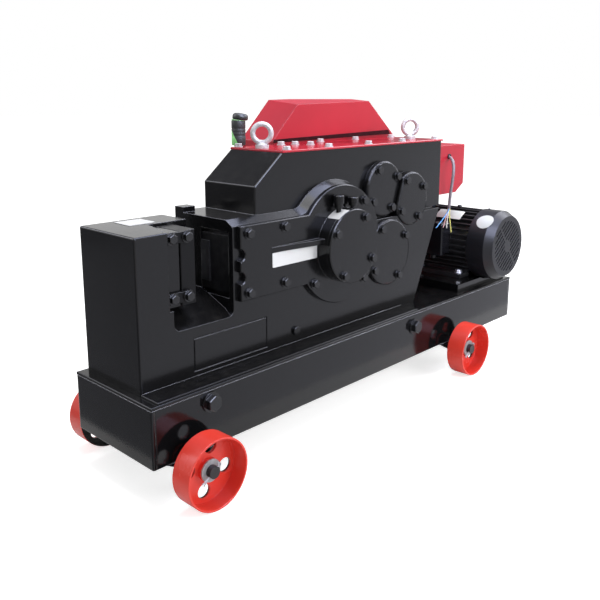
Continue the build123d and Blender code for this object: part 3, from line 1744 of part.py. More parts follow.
def button_places():
    """(y, z) of the two buttons on the box's end."""
    middle = across((switch_box_y[0] + switch_box_y[1]) / 2)
    return [(middle, over_deck(height)) for height in button_heights]


def switch_box():
    """The red sheet box on the body's end wall, and its lid on the far side."""
    y = [across(place) for place in switch_box_y]
    sheet = switch_box_sheet
    hollow = slab(switch_outline(sheet), (y[0] + sheet, y[1] + 1))
    box = slab(switch_outline(0), (y[0], y[1] - sheet))
    box = fillet(box.faces().sort_by(Axis.Y)[0].edges(), switch_box_edge_round) - hollow
    x, z = along(grommet_place[0]), over_deck(grommet_place[1])
    box -= drum((x, z), grommet_radius - 2 + sliding_clearance, (y[0] - 1, y[0] + sheet + 1))
    for by, bz in button_places():
        end = along(switch_box_end)
        box -= rod_x(by, bz, button_radius + button_clearance, (end - sheet - 1, end + 1))
    return [box, slab(switch_outline(0), (y[1] - sheet, y[1]))]


def push_button(index):
    """A button cap with the flange that keeps it in the box."""
    y, z = button_places()[index]
    wall_in = along(switch_box_end) - switch_box_sheet
    face = along(switch_box_end) + button_travel + button_land
    cap = rod_x(y, z, button_radius, (wall_in - button_depth, face))
    cap = fillet(cap.faces().sort_by(Axis.X)[-1].edges(), 2)
    return cap + rod_x(y, z, button_flange, (wall_in - button_depth, wall_in - button_clearance))


def lead_grommet():
    """The rubber grommet that the lead leaves through."""
    centre = (along(grommet_place[0]), over_deck(grommet_place[1]))
    y = across(switch_box_y[0])
    bore = lead_diameter / 2 + sliding_clearance
    sleeve = ring(centre, grommet_radius - 2, bore, (y, y + grommet_length - 3))
    return sleeve + ring(centre, grommet_radius, bore, (y - 3, y))


def route(points):
    """Points given from the base's left end, near face and deck, in the machine's frame."""
    return [Vector(along(x), across(y), over_deck(z)) for x, y, z in points]


def bend_radii(points):
    """The largest arc that each corner's two runs allow."""
    radii = []
    for before, corner, after in zip(points, points[1:], points[2:]):
        into, out = corner - before, after - corner
        turn = math.radians(into.get_angle(out))
        radii.append(0.45 * min(into.length, out.length) / math.tan(turn / 2))
    return radii


def tube(points, diameter):
    """A round tube along straight runs joined by tangent arcs."""
    radii = bend_radii(points)
    path = FilletPolyline(*points, radius=radii)
    start = Plane(origin=points[0], z_dir=points[1] - points[0])
    solid = sweep(start * Circle(diameter / 2), path=path)
    expected = math.pi * (diameter / 2) ** 2 * path.length
    print("tube", [round(r, 1) for r in radii], round(path.length, 1), round(solid.volume / expected, 4))
    return solid


def supply_lead():
    """The grey lead from the switch box to its bared end."""
    return tube(route(lead_points), lead_diameter)


def lead_cores():
    """The bared cores, which leave square to the lead's cut end."""
    rows = []
    points = route(lead_points)
    cut = Plane(origin=points[-1], z_dir=points[-1] - points[-2])
    for index, end in enumerate(route(core_ends)):
        turn = math.radians(45 + 90 * index)
        spread = 0.28 * lead_diameter
        start = cut.from_local_coords(Vector(spread * math.cos(turn), spread * math.sin(turn), 0))
        rows.append(tube([start, start + cut.z_dir * core_run, end], core_diameter))
    return rows


# Clutch lever


def clutch_lever():
    """A flat lever on a stub pin in the far wall."""
    centre = (along(lever_x), over_deck(lever_pivot_height))
    y = (body_far + lever_boss_height + side_gap, body_far + lever_boss_height + side_gap + lever_thickness)
    top = over_deck(grip_low_height)
    arm = outline(
        (centre[0] - lever_width / 2, centre[1]),
        (centre[0] + lever_width / 2, centre[1]),
        (centre[0] + lever_width / 3, top),
        (centre[0] - lever_width / 3, top),
    )
    lever = slab(arm + disc(centre, lever_width * 0.75), y)
    lever += drum(centre, lever_pin_radius, (far_inner + 2, y[1] + 6))
    middle = (y[0] + y[1]) / 2
    return lever + post(centre[0], middle, lever_tang_radius, (top - 4, top + lever_tang_length))


def clutch_grip():
    """The moulded grip with its flared cap."""
    x = along(lever_x)
    y = body_far + lever_boss_height + side_gap + lever_thickness / 2
    low = over_deck(grip_low_height)
    high = low + grip_height
    foot = (grip_radius * 0.9, low)
    waist = (grip_radius * 0.85, high - grip_height * 0.24)
    cap_low = (grip_cap_radius, high - grip_height * 0.14)
    cap_high = (grip_cap_radius, high - grip_cap_round)
    crown = (grip_cap_radius - grip_cap_round, high)
    profile = make_face(
        [
            Line((0, low), foot),
            ThreePointArc(foot, (grip_radius * 1.12, low + grip_height * 0.4), waist),
            Line(waist, cap_low),
            Line(cap_low, cap_high),
            RadiusArc(cap_high, crown, -grip_cap_round),
            Line(crown, (0, high)),
            Line((0, high), (0, low)),
        ]
    )
    grip = Pos(x, y, 0) * revolve(Plane.XZ * profile, axis=Axis.Z)
    return grip - post(x, y, lever_tang_radius + sliding_clearance, (low - 1, low + lever_tang_length + 0.5))


def as_list(piece):
    """The separate solids of a piece, or of each piece in a list."""
    rows = piece if isinstance(piece, list) else [piece]
    return [solid for row in rows for solid in row.solids()]


NODES = {
    "base_side_channels": base_side_channels,
    "base_cross_members": base_cross_members,
    "deck_plate": deck_plate,
    "base_side_bolts": base_side_bolts,
    "axle_saddles": axle_saddles,
    "axles": axles,
    "wheel_retainers": wheel_retainers,
    "wheel_near_left": lambda: wheel(axle_places[0], -1, wheel_hole_turns[0]),
    "wheel_near_right": lambda: wheel(axle_places[1], -1, wheel_hole_turns[1]),
    "wheel_far_left": lambda: wheel(axle_places[0], 1, wheel_hole_turns[2]),
    "wheel_far_right": lambda: wheel(axle_places[1], 1, wheel_hole_turns[3]),
    "body_casting": body_casting,
    "slide_cover": slide_cover,
    "ram_guides": ram_guides,
    "blade_support_block": blade_support_block,
    "clamp_straps": clamp_straps,
    "clamp_bolts": lambda: bolts(clamp_seats, NEAR, clamp_bolt_thread, clamp_grip),
    "fixed_blade": fixed_blade,
    "ram": ram,
    "moving_blade": moving_blade,
    "moving_blade_bolts": moving_blade_bolts,
    "crank_covers": crank_covers,
    "input_covers": input_covers,
    "gear_covers": lambda: second_covers() + third_covers(),
    "cover_bolts": cover_bolts,
    "shaft_bushes": shaft_bushes,
    "input_shaft": input_shaft,
    "flywheel_pulley": flywheel_pulley,
    "second_shaft": second_shaft,
    "second_gear": second_gear,
    "third_shaft": third_shaft,
    "third_gear": third_gear,
    "crankshaft": crankshaft,
    "crank_gear": crank_gear,
    "conrod": conrod,
    "wrist_pin": wrist_pin,
    "top_plate": top_plate,
    "top_plate_bolts": top_plate_bolts,
    "lifting_eyes": lifting_eyes,
    "oil_fittings": oil_fittings,
    "belt_guard": belt_guard,
    "guard_back": guard_back,
    "guard_studs": guard_studs,
    "drive_belts": drive_belts,
    "motor_frame": motor_frame,
    "motor_shields": motor_shields,
    "fan_cover": fan_cover,
    "motor_rotor": motor_rotor,
    "motor_pulley": motor_pulley,
    "motor_rails": motor_rails,
    "motor_bolts": lambda: bolts(foot_bolt_seats, UP, foot_bolt_thread, foot_bolt_grip),
    "terminal_box": terminal_box,
    "switch_box": switch_box,
    "start_button": lambda: push_button(0),
    "stop_button": lambda: push_button(1),
    "lead_grommet": lead_grommet,
    "supply_lead": supply_lead,
    "lead_cores": lead_cores,
    "clutch_lever": clutch_lever,
    "clutch_grip": clutch_grip,
}

os.makedirs("parts", exist_ok=True)
for name, make in NODES.items():
    export_step(Compound(children=as_list(make())), f"parts/{name}.step")
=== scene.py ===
import math

import bmesh
import bpy
from mathutils import Matrix, Vector


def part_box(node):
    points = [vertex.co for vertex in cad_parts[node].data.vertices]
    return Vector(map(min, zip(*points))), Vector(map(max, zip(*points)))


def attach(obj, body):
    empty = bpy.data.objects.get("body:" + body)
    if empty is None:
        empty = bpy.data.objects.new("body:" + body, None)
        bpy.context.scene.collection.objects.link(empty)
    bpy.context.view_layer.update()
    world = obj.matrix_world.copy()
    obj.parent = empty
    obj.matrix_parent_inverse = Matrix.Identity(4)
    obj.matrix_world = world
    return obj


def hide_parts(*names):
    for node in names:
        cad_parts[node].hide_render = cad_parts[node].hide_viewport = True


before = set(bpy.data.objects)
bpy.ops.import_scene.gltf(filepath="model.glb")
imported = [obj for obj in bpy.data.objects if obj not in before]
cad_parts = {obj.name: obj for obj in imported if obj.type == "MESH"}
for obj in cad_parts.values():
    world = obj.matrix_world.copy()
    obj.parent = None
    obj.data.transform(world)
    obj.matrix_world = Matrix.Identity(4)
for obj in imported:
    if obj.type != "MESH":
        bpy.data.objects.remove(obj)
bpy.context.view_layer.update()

bl_info = {
    "name": "Rebar cutting machine",
    "version": (1, 0, 0),
    "blender": (4, 5, 0),
    "location": "View3D > Sidebar > Cutter",
    "description": "Dresses the rebar cutting machine: paint, bare metal, cords, grip and plates",
    "category": "Object",
}

MACHINE = "machine"
LEVER = "lever"
UP = (0.0, 0.0, 1.0)
DOWN = (0.0, 0.0, -1.0)
FRONT = (0.0, -1.0, 0.0)

# Tints of the stage
BLACK = (0.0, 0.0, 0.0)
WHITE = (1.0, 1.0, 1.0)
COOL = (0.96, 0.97, 1.06)
SKY = (0.82, 0.88, 1.18)
PALE_BLUE = (0.86, 0.88, 1.0)

# Camera sensor in millimetres, floor in metres, and the floor's paint and glow
SENSOR_WIDTH = 36.0
FLOOR_SIZE = (60.0, 60.0)
FLOOR_PAINT = (0.80, 0.80, 0.80)
FLOOR_SEEN = (0.70, 0.70, 0.70)
FLOOR_MIRRORED = (0.12, 0.12, 0.12)

# Softboxes: name, place, aim, size, tint, and whether gloss mirrors them
LAMPS = (
    ("overhead", (0.1, -0.1, 2.4), (0.1, 0.0, 0.3), (2.2, 1.0), WHITE, True),
    ("key", (0.9, -2.6, 1.5), (0.0, 0.0, 0.35), (1.6, 1.2), WHITE, False),
    ("side", (2.1, -0.6, 2.0), (0.5, 0.0, 0.4), (1.4, 1.4), PALE_BLUE, True),
)

# Cards round the machine: name, place, size, way it faces, glow and tint
CARDS = (
    ("back_card", (1.68, 1.9, 2.7), (4.86, 2.8), FRONT, 0.30, COOL),
    ("left_card", (-2.05, 1.9, 2.7), (2.6, 2.8), FRONT, 4.2, COOL),
    ("right_card", (2.9, 1.9, 0.72), (2.6, 1.16), FRONT, 0.22, COOL),
    ("side_card", (-2.6, 0.6, 0.004), (3.6, 3.2), UP, 0.26, COOL),
    ("corner_card", (-4.0, 5.0, 0.004), (7.0, 5.6), UP, 0.14, COOL),
    ("front_card", (5.5, -6.25, 0.004), (13.0, 11.8), UP, 1.05, COOL),
    ("sky_card", (0.45, -0.1, 2.3), (1.7, 1.4), DOWN, 7.0, SKY),
    ("window_card", (-0.3, -2.1, 2.1), (2.8, 1.8), (0.42, 0.68, -0.60), 14.0, SKY),
)

# Lead: its route, from where it leaves the switch box, in metres
LEAD_ROUTE = (
    (0.473, -0.0365, 0.605),
    (0.472, -0.0520, 0.605),
    (0.463, -0.0690, 0.589),
    (0.454, -0.0765, 0.564),
    (0.450, -0.0750, 0.525),
    (0.447, -0.0715, 0.487),
    (0.448, -0.0695, 0.453),
)

# Bared cores of the lead by name: length and route, in metres; the first stands for the CAD's cores
FIRST_CORE = "core_blue"
CORES = {
    FIRST_CORE: (0.083, ((0.4462, -0.0713, 0.4528), (0.4450, -0.0689, 0.4391), (0.386, -0.0665, 0.401))),
    "core_pink": (0.060, ((0.4462, -0.0678, 0.4535), (0.4450, -0.0653, 0.4397), (0.429, -0.0635, 0.396))),
    "core_white": (0.061, ((0.4498, -0.0677, 0.4532), (0.4486, -0.0653, 0.4394), (0.437, -0.0705, 0.394))),
    "core_yellow": (0.075, ((0.4498, -0.0712, 0.4525), (0.4486, -0.0688, 0.4388), (0.46, -0.0725, 0.379))),
}

# Clutch grip: its place (x, y), and the profiles of its parts as (radius, height), in metres
GRIP_PLACE = (-0.224, 0.1148)
GRIP_BODY = (
    (0.0, 0.6640), (0.0162, 0.6640), (0.0170, 0.6655), (0.0172, 0.6860), (0.0164, 0.6880),
    (0.0172, 0.6900), (0.0172, 0.6940), (0.0164, 0.6960), (0.0172, 0.6980), (0.0172, 0.7020),
    (0.0164, 0.7040), (0.0172, 0.7060), (0.0172, 0.7222), (0.0166, 0.7240), (0.0, 0.7240),
)
GRIP_RING = (
    (0.0, 0.7195), (0.0160, 0.7195), (0.0160, 0.7242), (0.0172, 0.7242), (0.0175, 0.7248),
    (0.0172, 0.7255), (0.0, 0.7255),
)
GRIP_CAP = (
    (0.0, 0.7262), (0.0176, 0.7262), (0.0190, 0.7280), (0.0192, 0.7345), (0.0178, 0.7385),
    (0.0140, 0.7408), (0.0070, 0.7418), (0.0, 0.7420),
)

# The ring and the cap lean to one side, and the cap has slipped that way and sunk a little
GRIP_LEAN = (0.69, -0.72, 0.0)
GRIP_TILT = math.radians(7.0)
CAP_SLIP = 0.0040
CAP_SINK = 0.0008

# Rubber covers the grip above a slanting edge: the way across the edge, and where it starts and ends
RUBBER_SLANT = (1.41, -1.475, 1.0)
RUBBER_EDGE = (0.1815, 0.1825)
RUBBED_RUBBER = (0.024, 0.026, 0.027)

# A turned face this level or more is a flat end
FLAT_END = 0.98

# Blank plates: their thickness as they lie flat, and the width, height and corner radius of each, in
# metres, with the steps along one that is bent
PLATE_RISE = (0.0, 0.0, 0.0008)
BEND_STEPS = 10
MOTOR_PLATE = (0.038, 0.088, 0.006, BEND_STEPS)
CRANK_PLATE = (0.041, 0.036, 0.002, BEND_STEPS)
SLIDE_PLATE = (0.145, 0.033, 0.003)
POST_PLATE = (0.064, 0.058, 0.003)
FAN_PLATE_RADIUS = 0.026

# Seats of the bent plates: the drum's axis (x, z) and radius, the angle round it, the depth along it
MOTOR_AXIS = (0.582, 0.335)
CRANK_AXIS = (-0.093, 0.429)
MOTOR_SEAT = (MOTOR_AXIS, 0.1033, math.radians(122.5), -0.026)
FAN_SEAT = (MOTOR_AXIS, 0.1062, math.radians(131.0), -0.1555)
CRANK_SEAT = (CRANK_AXIS, 0.0902, math.radians(115.0), -0.1285)

# Seats of the flat plates: place, and turn about the X axis
SLIDE_SEAT = ((-0.2570, -0.1095, 0.4265), math.pi / 2)
POST_SEAT = ((-0.572, 0.050, 0.523), 0.0)

# Dark strip of painted shade in the gap under the hood: its outline (x, z), and its near and far face (y),
# in metres
SHADE_STRIP_LINE = ((-0.109, 0.6645), (0.386, 0.6705), (0.3765, 0.6830), (-0.109, 0.6725))
SHADE_STRIP_FACES = (0.1095, 0.1113)

# Motor screws: x, y, foot and radius in metres, the root below the foot, the head in shares of the radius
MOTOR_SCREWS = ((0.588, -0.022, 0.4385, 0.0070), (0.585, -0.128, 0.4410, 0.0036))
SCREW_ROOT = 0.004
SCREW_HEAD = ((1.0, 0.3), (0.8, 0.6), (0.4, 0.75), (0.0, 0.78))
SCREW_STEPS = 24

# Points of a turned shape nearer than this are one point
MERGE_DISTANCE = 1e-6

# CAD nodes of the same kind
WHEELS = ("wheel_near_left", "wheel_near_right", "wheel_far_left", "wheel_far_right")
GEARS = ("second_gear", "third_gear", "crank_gear")

# Colours that dirt and wear bring to enamel, the painted highlight on upper edges, and the painted shade
# inside a wheel
DUST = (0.23, 0.22, 0.21)
BARE_EDGE = (0.30, 0.28, 0.27)
PAINTED_EDGE_HIGHLIGHT = (0.50, 0.51, 0.60)
WHEEL_INSIDE_SHADE = (0.016, 0.015, 0.015)

# Painted highlight on the casting's upper edges: up to this length and above this height, and how softly
# it ends, in metres
HIGHLIGHT_ZONE = (0.12, 0.165)
ZONE_FADE = (0.02, 0.01)

# Painted shade inside a wheel: the radial part of a direction, the pull to the machine's middle, and the
# back of the web, measured from the wheel's own middle in metres
RADIAL = (1.0, 0.0, 1.0)
INWARD_PULL = 0.05
WEB_BACK = (0.013, 0.016)

# A Mix node's sockets for colours: the share, the two colours and the result
MIX_SHARE = 0
MIX_FIRST = 6
MIX_SECOND = 7
MIX_RESULT = 2

# Rays that a Bevel node sends to ease an edge
BEVEL_SAMPLES = 6


def colour_prop(name, description, default):
    """A colour that a user may change."""
    return bpy.props.FloatVectorProperty(
        name=name, description=description, default=default, subtype="COLOR", size=3, min=0.0, max=1.0
    )


def length_prop(name, description, default):
    """A length that a user may change."""
    return bpy.props.FloatProperty(
        name=name, description=description, default=default, min=0.0, unit="LENGTH", subtype="DISTANCE"
    )


def angle_prop(name, description, default):
    """An angle that a user may change, with its default in degrees."""
    return bpy.props.FloatProperty(
        name=name, description=description, default=math.radians(default), unit="ROTATION",
        subtype="ANGLE",
    )


def power_prop(name, description, default):
    """A lamp's power that a user may change."""
    return bpy.props.FloatProperty(
        name=name, description=description, default=default, min=0.0, unit="POWER"
    )


class PaintProps(bpy.types.PropertyGroup):
    """Colours of the machine's finishes."""

    black: colour_prop("Black enamel", "Castings, base and covers", (0.0050, 0.0050, 0.0058))
    red: colour_prop("Red enamel", "Hood, top plate and switch box", (0.45, 0.0105, 0.028))
    wheel_red: colour_prop("Wheel red", "Cast wheels", (0.72, 0.048, 0.031))
    motor_black: colour_prop("Motor black", "Motor frame, shields and screws", (0.022, 0.022, 0.025))
    fan_black: colour_prop("Fan cover black", "Fan cover and terminal box", (0.008, 0.008, 0.011))
    zinc: colour_prop("Zinc", "Hood studs and motor bolts", (0.78, 0.78, 0.80))
    dull_zinc: colour_prop("Dull zinc", "Lifting eyes, top bolts and hub washers", (0.56, 0.56, 0.58))
    steel: colour_prop("Steel", "Turned shafts, crankshaft and wrist pin", (0.46, 0.46, 0.47))
    blade_steel: colour_prop("Blade steel", "Ground blades", (0.14, 0.14, 0.15))
    oily_steel: colour_prop("Oily steel", "Ram, guides, axles and rotor", (0.075, 0.074, 0.076))
    iron: colour_prop("Iron", "Bare gears, pulleys and connecting rod", (0.17, 0.165, 0.16))
    bronze: colour_prop("Bronze", "Shaft bushes", (0.52, 0.34, 0.14))
    belt: colour_prop("Belt rubber", "Drive belts", (0.012, 0.012, 0.012))
    start: colour_prop("Start green", "Start button", (0.03, 0.32, 0.08))
    stop: colour_prop("Stop red", "Stop button", (0.58, 0.02, 0.02))
    grommet: colour_prop("Grommet rubber", "Grommet of the lead", (0.010, 0.010, 0.011))
    # Dark red of the strip of painted shade under the hood
    shade_strip: colour_prop("Painted shade strip", "Dark strip of painted shade under the hood", (0.026, 0.003, 0.005))
    grip: colour_prop("Grip black", "Rubber and cap of the grip", (0.012, 0.014, 0.014))
    grip_green: colour_prop("Grip green", "Core of the grip", (0.28, 0.74, 0.25))
    ring_green: colour_prop("Ring green", "Ring under the grip's cap", (0.42, 0.78, 0.40))
    plate_white: colour_prop("Plate white", "Plates on post, slide and crank boss", (0.70, 0.71, 0.73))
    # Paler and bluer than the plate white: painted light, so the plate stays white in the shade of the
    # hood and switch box
    motor_plate: colour_prop("Motor plate white", "Plate on the motor", (0.90, 0.96, 0.97))
    # Darker than the plate white: painted shade against the light the fan cover's plate catches
    fan_plate: colour_prop("Fan plate white", "Plate on the fan cover", (0.60, 0.645, 0.665))
    sheath: colour_prop("Lead sheath", "Grey sheath of the lead", (0.19, 0.165, 0.20))
    core_blue: colour_prop("Blue core", "Insulation of the blue core", (0.10, 0.36, 0.80))
    core_pink: colour_prop("Pink core", "Insulation of the pink core", (0.76, 0.44, 0.46))
    core_white: colour_prop("White core", "Insulation of the white core", (0.76, 0.74, 0.72))
    core_yellow: colour_prop("Yellow core", "Insulation of the yellow core", (0.80, 0.74, 0.20))


class CordProps(bpy.types.PropertyGroup):
    """Sizes of the lead and its cores."""

    lead: length_prop("Lead diameter", "Outside of the grey sheath", 0.009)
    core: length_prop("Core diameter", "Outside of a core's insulation", 0.0032)


class StudioProps(bpy.types.PropertyGroup):
    """Camera and light."""

    place: bpy.props.FloatVectorProperty(
        name="Camera place", description="Where the camera stands", default=(-1.3887, -1.2048, 0.7751),
        subtype="TRANSLATION", unit="LENGTH", size=3,
    )
    yaw: angle_prop("Camera yaw", "Turn from +Y towards +X", 46.322)
    pitch: angle_prop("Camera pitch", "Tilt below the horizon", 11.194)
    lens: bpy.props.FloatProperty(name="Lens", description="Focal length", default=42.67, unit="CAMERA")
    shift: bpy.props.FloatProperty(name="Shift", description="Rise of the frame", default=-0.1007)
    ambient: bpy.props.FloatProperty(
        name="Ambient", description="Strength of the light from all round", default=0.62, min=0.0
    )
    overhead: power_prop("Overhead", "Power of the overhead softbox", 38.0)
    key: power_prop("Key", "Power of the softbox in front of the motor end", 42.0)
    side: power_prop("Side", "Power of the softbox beyond the motor", 44.0)


class Value:
    """One socket of a node tree, so that shader maths reads as arithmetic."""

    def __init__(self, nodes, socket):
        self.nodes = nodes
        self.socket = socket

    def maths(self, operation, *terms):
        """A Math node on these terms."""
        return self.nodes.node("ShaderNodeMath", {"operation": operation}, terms)

    def __add__(self, other):
        return self.maths("ADD", self, other)

    def __sub__(self, other):
        return self.maths("SUBTRACT", self, other)

    def __rsub__(self, other):
        return self.maths("SUBTRACT", other, self)

    def __mul__(self, other):
        return self.maths("MULTIPLY", self, other)

    __radd__ = __add__
    __rmul__ = __mul__

    def most(self, other):
        """The larger of two values."""
        return self.maths("MAXIMUM", self, other)

    def above(self, low, high):
        """0 under low, 1 over high, and a smooth step between."""
        settings = {"interpolation_type": "SMOOTHSTEP"}
        sockets = {"Value": self, "From Min": low, "From Max": high}
        return self.nodes.node("ShaderNodeMapRange", settings, sockets)


class Nodes:
    """A node tree that starts empty, and whose nodes all come from one method."""

    def __init__(self, tree):
        self.tree = tree
        self.tree.nodes.clear()

    def node(self, kind, settings=None, sockets=(), output=0):
        """Adds a node: its settings first, then the values or links of its sockets.

        Gives back one of its outputs, or nothing for the tree's own output.
        """
        made = self.tree.nodes.new(kind)
        for key, value in (settings or {}).items():
            setattr(made, key, value)
        pairs = sockets.items() if isinstance(sockets, dict) else enumerate(sockets)
        for key, value in pairs:
            self.join(made.inputs[key], value)
        return Value(self, made.outputs[output]) if made.outputs else None

    def join(self, socket, value):
        """Links a value to a socket, or sets it."""
        if isinstance(value, Value):
            self.tree.links.new(value.socket, socket)
        elif socket.type == "RGBA" and len(value) == 3:
            socket.default_value = (*value, 1.0)
        else:
            socket.default_value = value

    def ray(self, kind):
        """1 for one kind of ray, such as Camera or Glossy, and 0 for all others."""
        return self.node("ShaderNodeLightPath", output=f"Is {kind} Ray")

    def mirrored(self):
        """1 for what gloss and glass see."""
        return self.ray("Glossy").most(self.ray("Transmission"))


class Finish(Nodes):
    """A node material of one surface, built on a Principled shader."""

    def __init__(self, name, **constants):
        self.material = bpy.data.materials.new(name)
        self.material.use_nodes = True
        super().__init__(self.material.node_tree)
        surface = self.node("ShaderNodeBsdfPrincipled")
        self.node("ShaderNodeOutputMaterial", None, {"Surface": surface})
        self.shader = surface.socket.node
        self.place = self.node("ShaderNodeTexCoord", output="Object")
        for socket, value in constants.items():
            self.feed(socket.replace("_", " "), value)

    def feed(self, socket, value):
        """Sets or links one of the shader's own sockets."""
        self.join(self.shader.inputs[socket], value)

    def noise(self, scale, detail=2.0, roughness=0.5, place=None):
        """Noise over the piece, from 0 to 1."""
        sockets = {"Scale": scale, "Detail": detail, "Roughness": roughness}
        return self.node("ShaderNodeTexNoise", None, {"Vector": place or self.place, **sockets})

    def stretched(self, scale):
        """Object coordinates scaled along each axis."""
        return self.node("ShaderNodeMapping", None, {"Vector": self.place, "Scale": scale})

    def mix(self, share, first, second):
        """A colour between two, by a share."""
        sockets = {MIX_SHARE: share, MIX_FIRST: first, MIX_SECOND: second}
        return self.node("ShaderNodeMix", {"data_type": "RGBA"}, sockets, MIX_RESULT)

    def vector(self, operation, *terms, output=0):
        """A Vector Math node on these terms."""
        return self.node("ShaderNodeVectorMath", {"operation": operation}, terms, output)

    def along(self, vector, axis):
        """The part of a vector along X, Y or Z."""
        return self.node("ShaderNodeSeparateXYZ", None, (vector,), axis)

    def facing_up(self):
        """1 on level upper faces, 0 on walls."""
        return self.along(self.node("ShaderNodeNewGeometry", output="True Normal"), "Z")

    def eased(self, radius):
        """The surface's normal with its edges eased by a radius."""
        return self.node("ShaderNodeBevel", {"samples": BEVEL_SAMPLES}, {"Radius": radius})

    def edges(self, eased):
        """A mask of the edges that an eased normal turns away from."""
        normal = self.node("ShaderNodeNewGeometry", output="Normal")
        facing = self.vector("DOT_PRODUCT", eased, normal, output="Value")
        return (1 - facing).above(0.08, 0.28)

    def upward(self, eased):
        """1 where an eased normal looks up, 0 on walls and below."""
        return self.along(eased, "Z").above(0.25, 0.65)

    def within(self, zone):
        """1 up to a length and above a height, 0 beyond."""
        longest, lowest = zone
        length = self.along(self.place, "X").above(longest, longest + ZONE_FADE[0])
        height = self.along(self.place, "Z").above(lowest, lowest + ZONE_FADE[1])
        return (1 - length) * height

    def inner_side(self, hub):
        """1 inside the half of a wheel that looks to the middle of the machine, where shade is painted."""
        side = math.copysign(1.0, hub[1])
        normal = self.node("ShaderNodeTexCoord", output="Normal")
        to_hub = self.vector("SUBTRACT", hub, self.place)
        inwards = self.vector("MULTIPLY_ADD", to_hub, RADIAL, (0.0, -INWARD_PULL * side, 0.0))
        facing = self.vector("DOT_PRODUCT", normal, inwards, output="Value")
        depth = (hub[1] - self.along(self.place, "Y")) * side
        return facing.above(0.005, 0.015) * depth.above(*WEB_BACK)

    def bump(self, height, distance, strength, normal=None):
        """Feeds the normal from a height."""
        sockets = {"Height": height, "Distance": distance, "Strength": strength}
        if normal:
            sockets["Normal"] = normal
        self.feed("Normal", self.node("ShaderNodeBump", None, sockets))


def shaded(colour, share):
    """A colour made darker by a share."""
    return tuple(share * part for part in colour)


def enamel(name, colour, roughness, grain, dust, worn, edge, gloss=0.5, edge_highlight=0.0, zone=None, hub=None):
    """Enamel over metal: orange peel, casting grain, dust on top and rubbed edges.

    Edge highlight paints pale highlights on upper edges, within a zone if there is one. A wheel's hub
    paints shade on its inside.
    """
    finish = Finish(name, Specular_IOR_Level=gloss)
    cloud = finish.noise(scale=7.0, detail=4.0)
    peel = finish.noise(scale=330.0)
    lumps = finish.noise(scale=46.0, detail=3.0)
    eased = finish.eased(edge)
    corner = finish.edges(eased)
    rubbed = corner * finish.noise(scale=150.0, detail=5.0, roughness=0.7).above(0.56, 0.70)
    specks = finish.noise(scale=38.0, detail=6.0, roughness=0.65).above(0.40, 0.80)
    settled = finish.facing_up().above(0.5, 1.0) * specks
    painted = finish.mix(cloud.above(0.30, 0.70), shaded(colour, 0.88), colour)
    painted = finish.mix(settled * dust, painted, DUST)
    # Painted highlight: pale lines along upper edges stand for the glint on rounded edges of thick enamel
    if edge_highlight:
        glint = corner * finish.upward(eased) * edge_highlight
        if zone:
            glint = glint * finish.within(zone)
        painted = finish.mix(glint, painted, PAINTED_EDGE_HIGHLIGHT)
    # Painted shade: the inside of a wheel, which looks to the machine's middle, is made nearly black
    if hub:
        painted = finish.mix(finish.inner_side(hub), painted, WHEEL_INSIDE_SHADE)
    finish.feed("Base Color", finish.mix(rubbed * worn, painted, BARE_EDGE))
    uneven = 0.10 * (cloud - 0.5)
    dusty = 0.30 * dust * settled
    bared = 0.25 * worn * rubbed
    finish.feed("Roughness", roughness + uneven + dusty + bared)
    finish.bump(peel * 0.35 + lumps * grain, distance=0.0004, strength=0.5, normal=eased)
    return finish.material


def plated(name, colour, roughness, metal=1.0):
    """Zinc plate, a little mottled, and dulled where it is less metallic."""
    finish = Finish(name, Metallic=metal)
    mottle = finish.noise(scale=85.0, detail=4.0, roughness=0.6)
    fine = finish.stretched((900.0, 900.0, 60.0))
    scratch = finish.noise(scale=1.0, detail=3.0, roughness=0.6, place=fine)
    finish.feed("Base Color", finish.mix(mottle.above(0.35, 0.65), shaded(colour, 0.74), colour))
    finish.feed("Roughness", roughness + 0.18 * mottle + 0.10 * scratch)
    finish.bump(scratch, distance=0.0001, strength=0.35, normal=finish.eased(0.0006))
    return finish.material


def machined(name, colour, roughness, marks):
    """Turned or ground metal with fine marks, scaled along each axis."""
    finish = Finish(name, Metallic=1.0)
    lines = finish.noise(scale=1.0, detail=4.0, roughness=0.6, place=finish.stretched(marks))
    stain = finish.noise(scale=22.0, detail=5.0, roughness=0.6)
    finish.feed("Base Color", finish.mix(stain.above(0.38, 0.68), shaded(colour, 0.62), colour))
    finish.feed("Roughness", roughness + 0.16 * lines + 0.10 * stain)
    finish.bump(lines, distance=0.00012, strength=0.4, normal=finish.eased(0.0006))
    return finish.material


def rough_iron(name, colour):
    """Bare cast iron, grainy and oily."""
    finish = Finish(name, Metallic=0.85)
    grain = finish.noise(scale=420.0, detail=4.0, roughness=0.6)
    oil = finish.noise(scale=16.0, detail=4.0)
    finish.feed("Base Color", finish.mix(oil.above(0.35, 0.65), shaded(colour, 0.55), colour))
    finish.feed("Roughness", 0.38 + 0.22 * grain)
    finish.bump(grain, distance=0.0003, strength=0.6, normal=finish.eased(0.0008))
    return finish.material


def moulded(name, colour, roughness, scale=600.0, depth=0.0002, gloss=0.45):
    """Moulded rubber or plastic with a fine skin, paler where it is worn."""
    finish = Finish(name, Specular_IOR_Level=gloss)
    skin = finish.noise(scale=scale, detail=3.0, roughness=0.6)
    cloud = finish.noise(scale=60.0, detail=3.0)
    worn = tuple(min(1.0, 1.25 * part + 0.004) for part in colour)
    finish.feed("Base Color", finish.mix(cloud.above(0.35, 0.70), colour, worn))
    finish.feed("Roughness", roughness + 0.12 * (skin - 0.5))
    finish.bump(skin, distance=depth, strength=0.6, normal=finish.eased(0.0006))
    return finish.material


def dress(material, *nodes):
    """Gives a finish to CAD nodes."""
    for name in nodes:
        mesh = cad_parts[name].data
        mesh.materials.clear()
        mesh.materials.append(material)


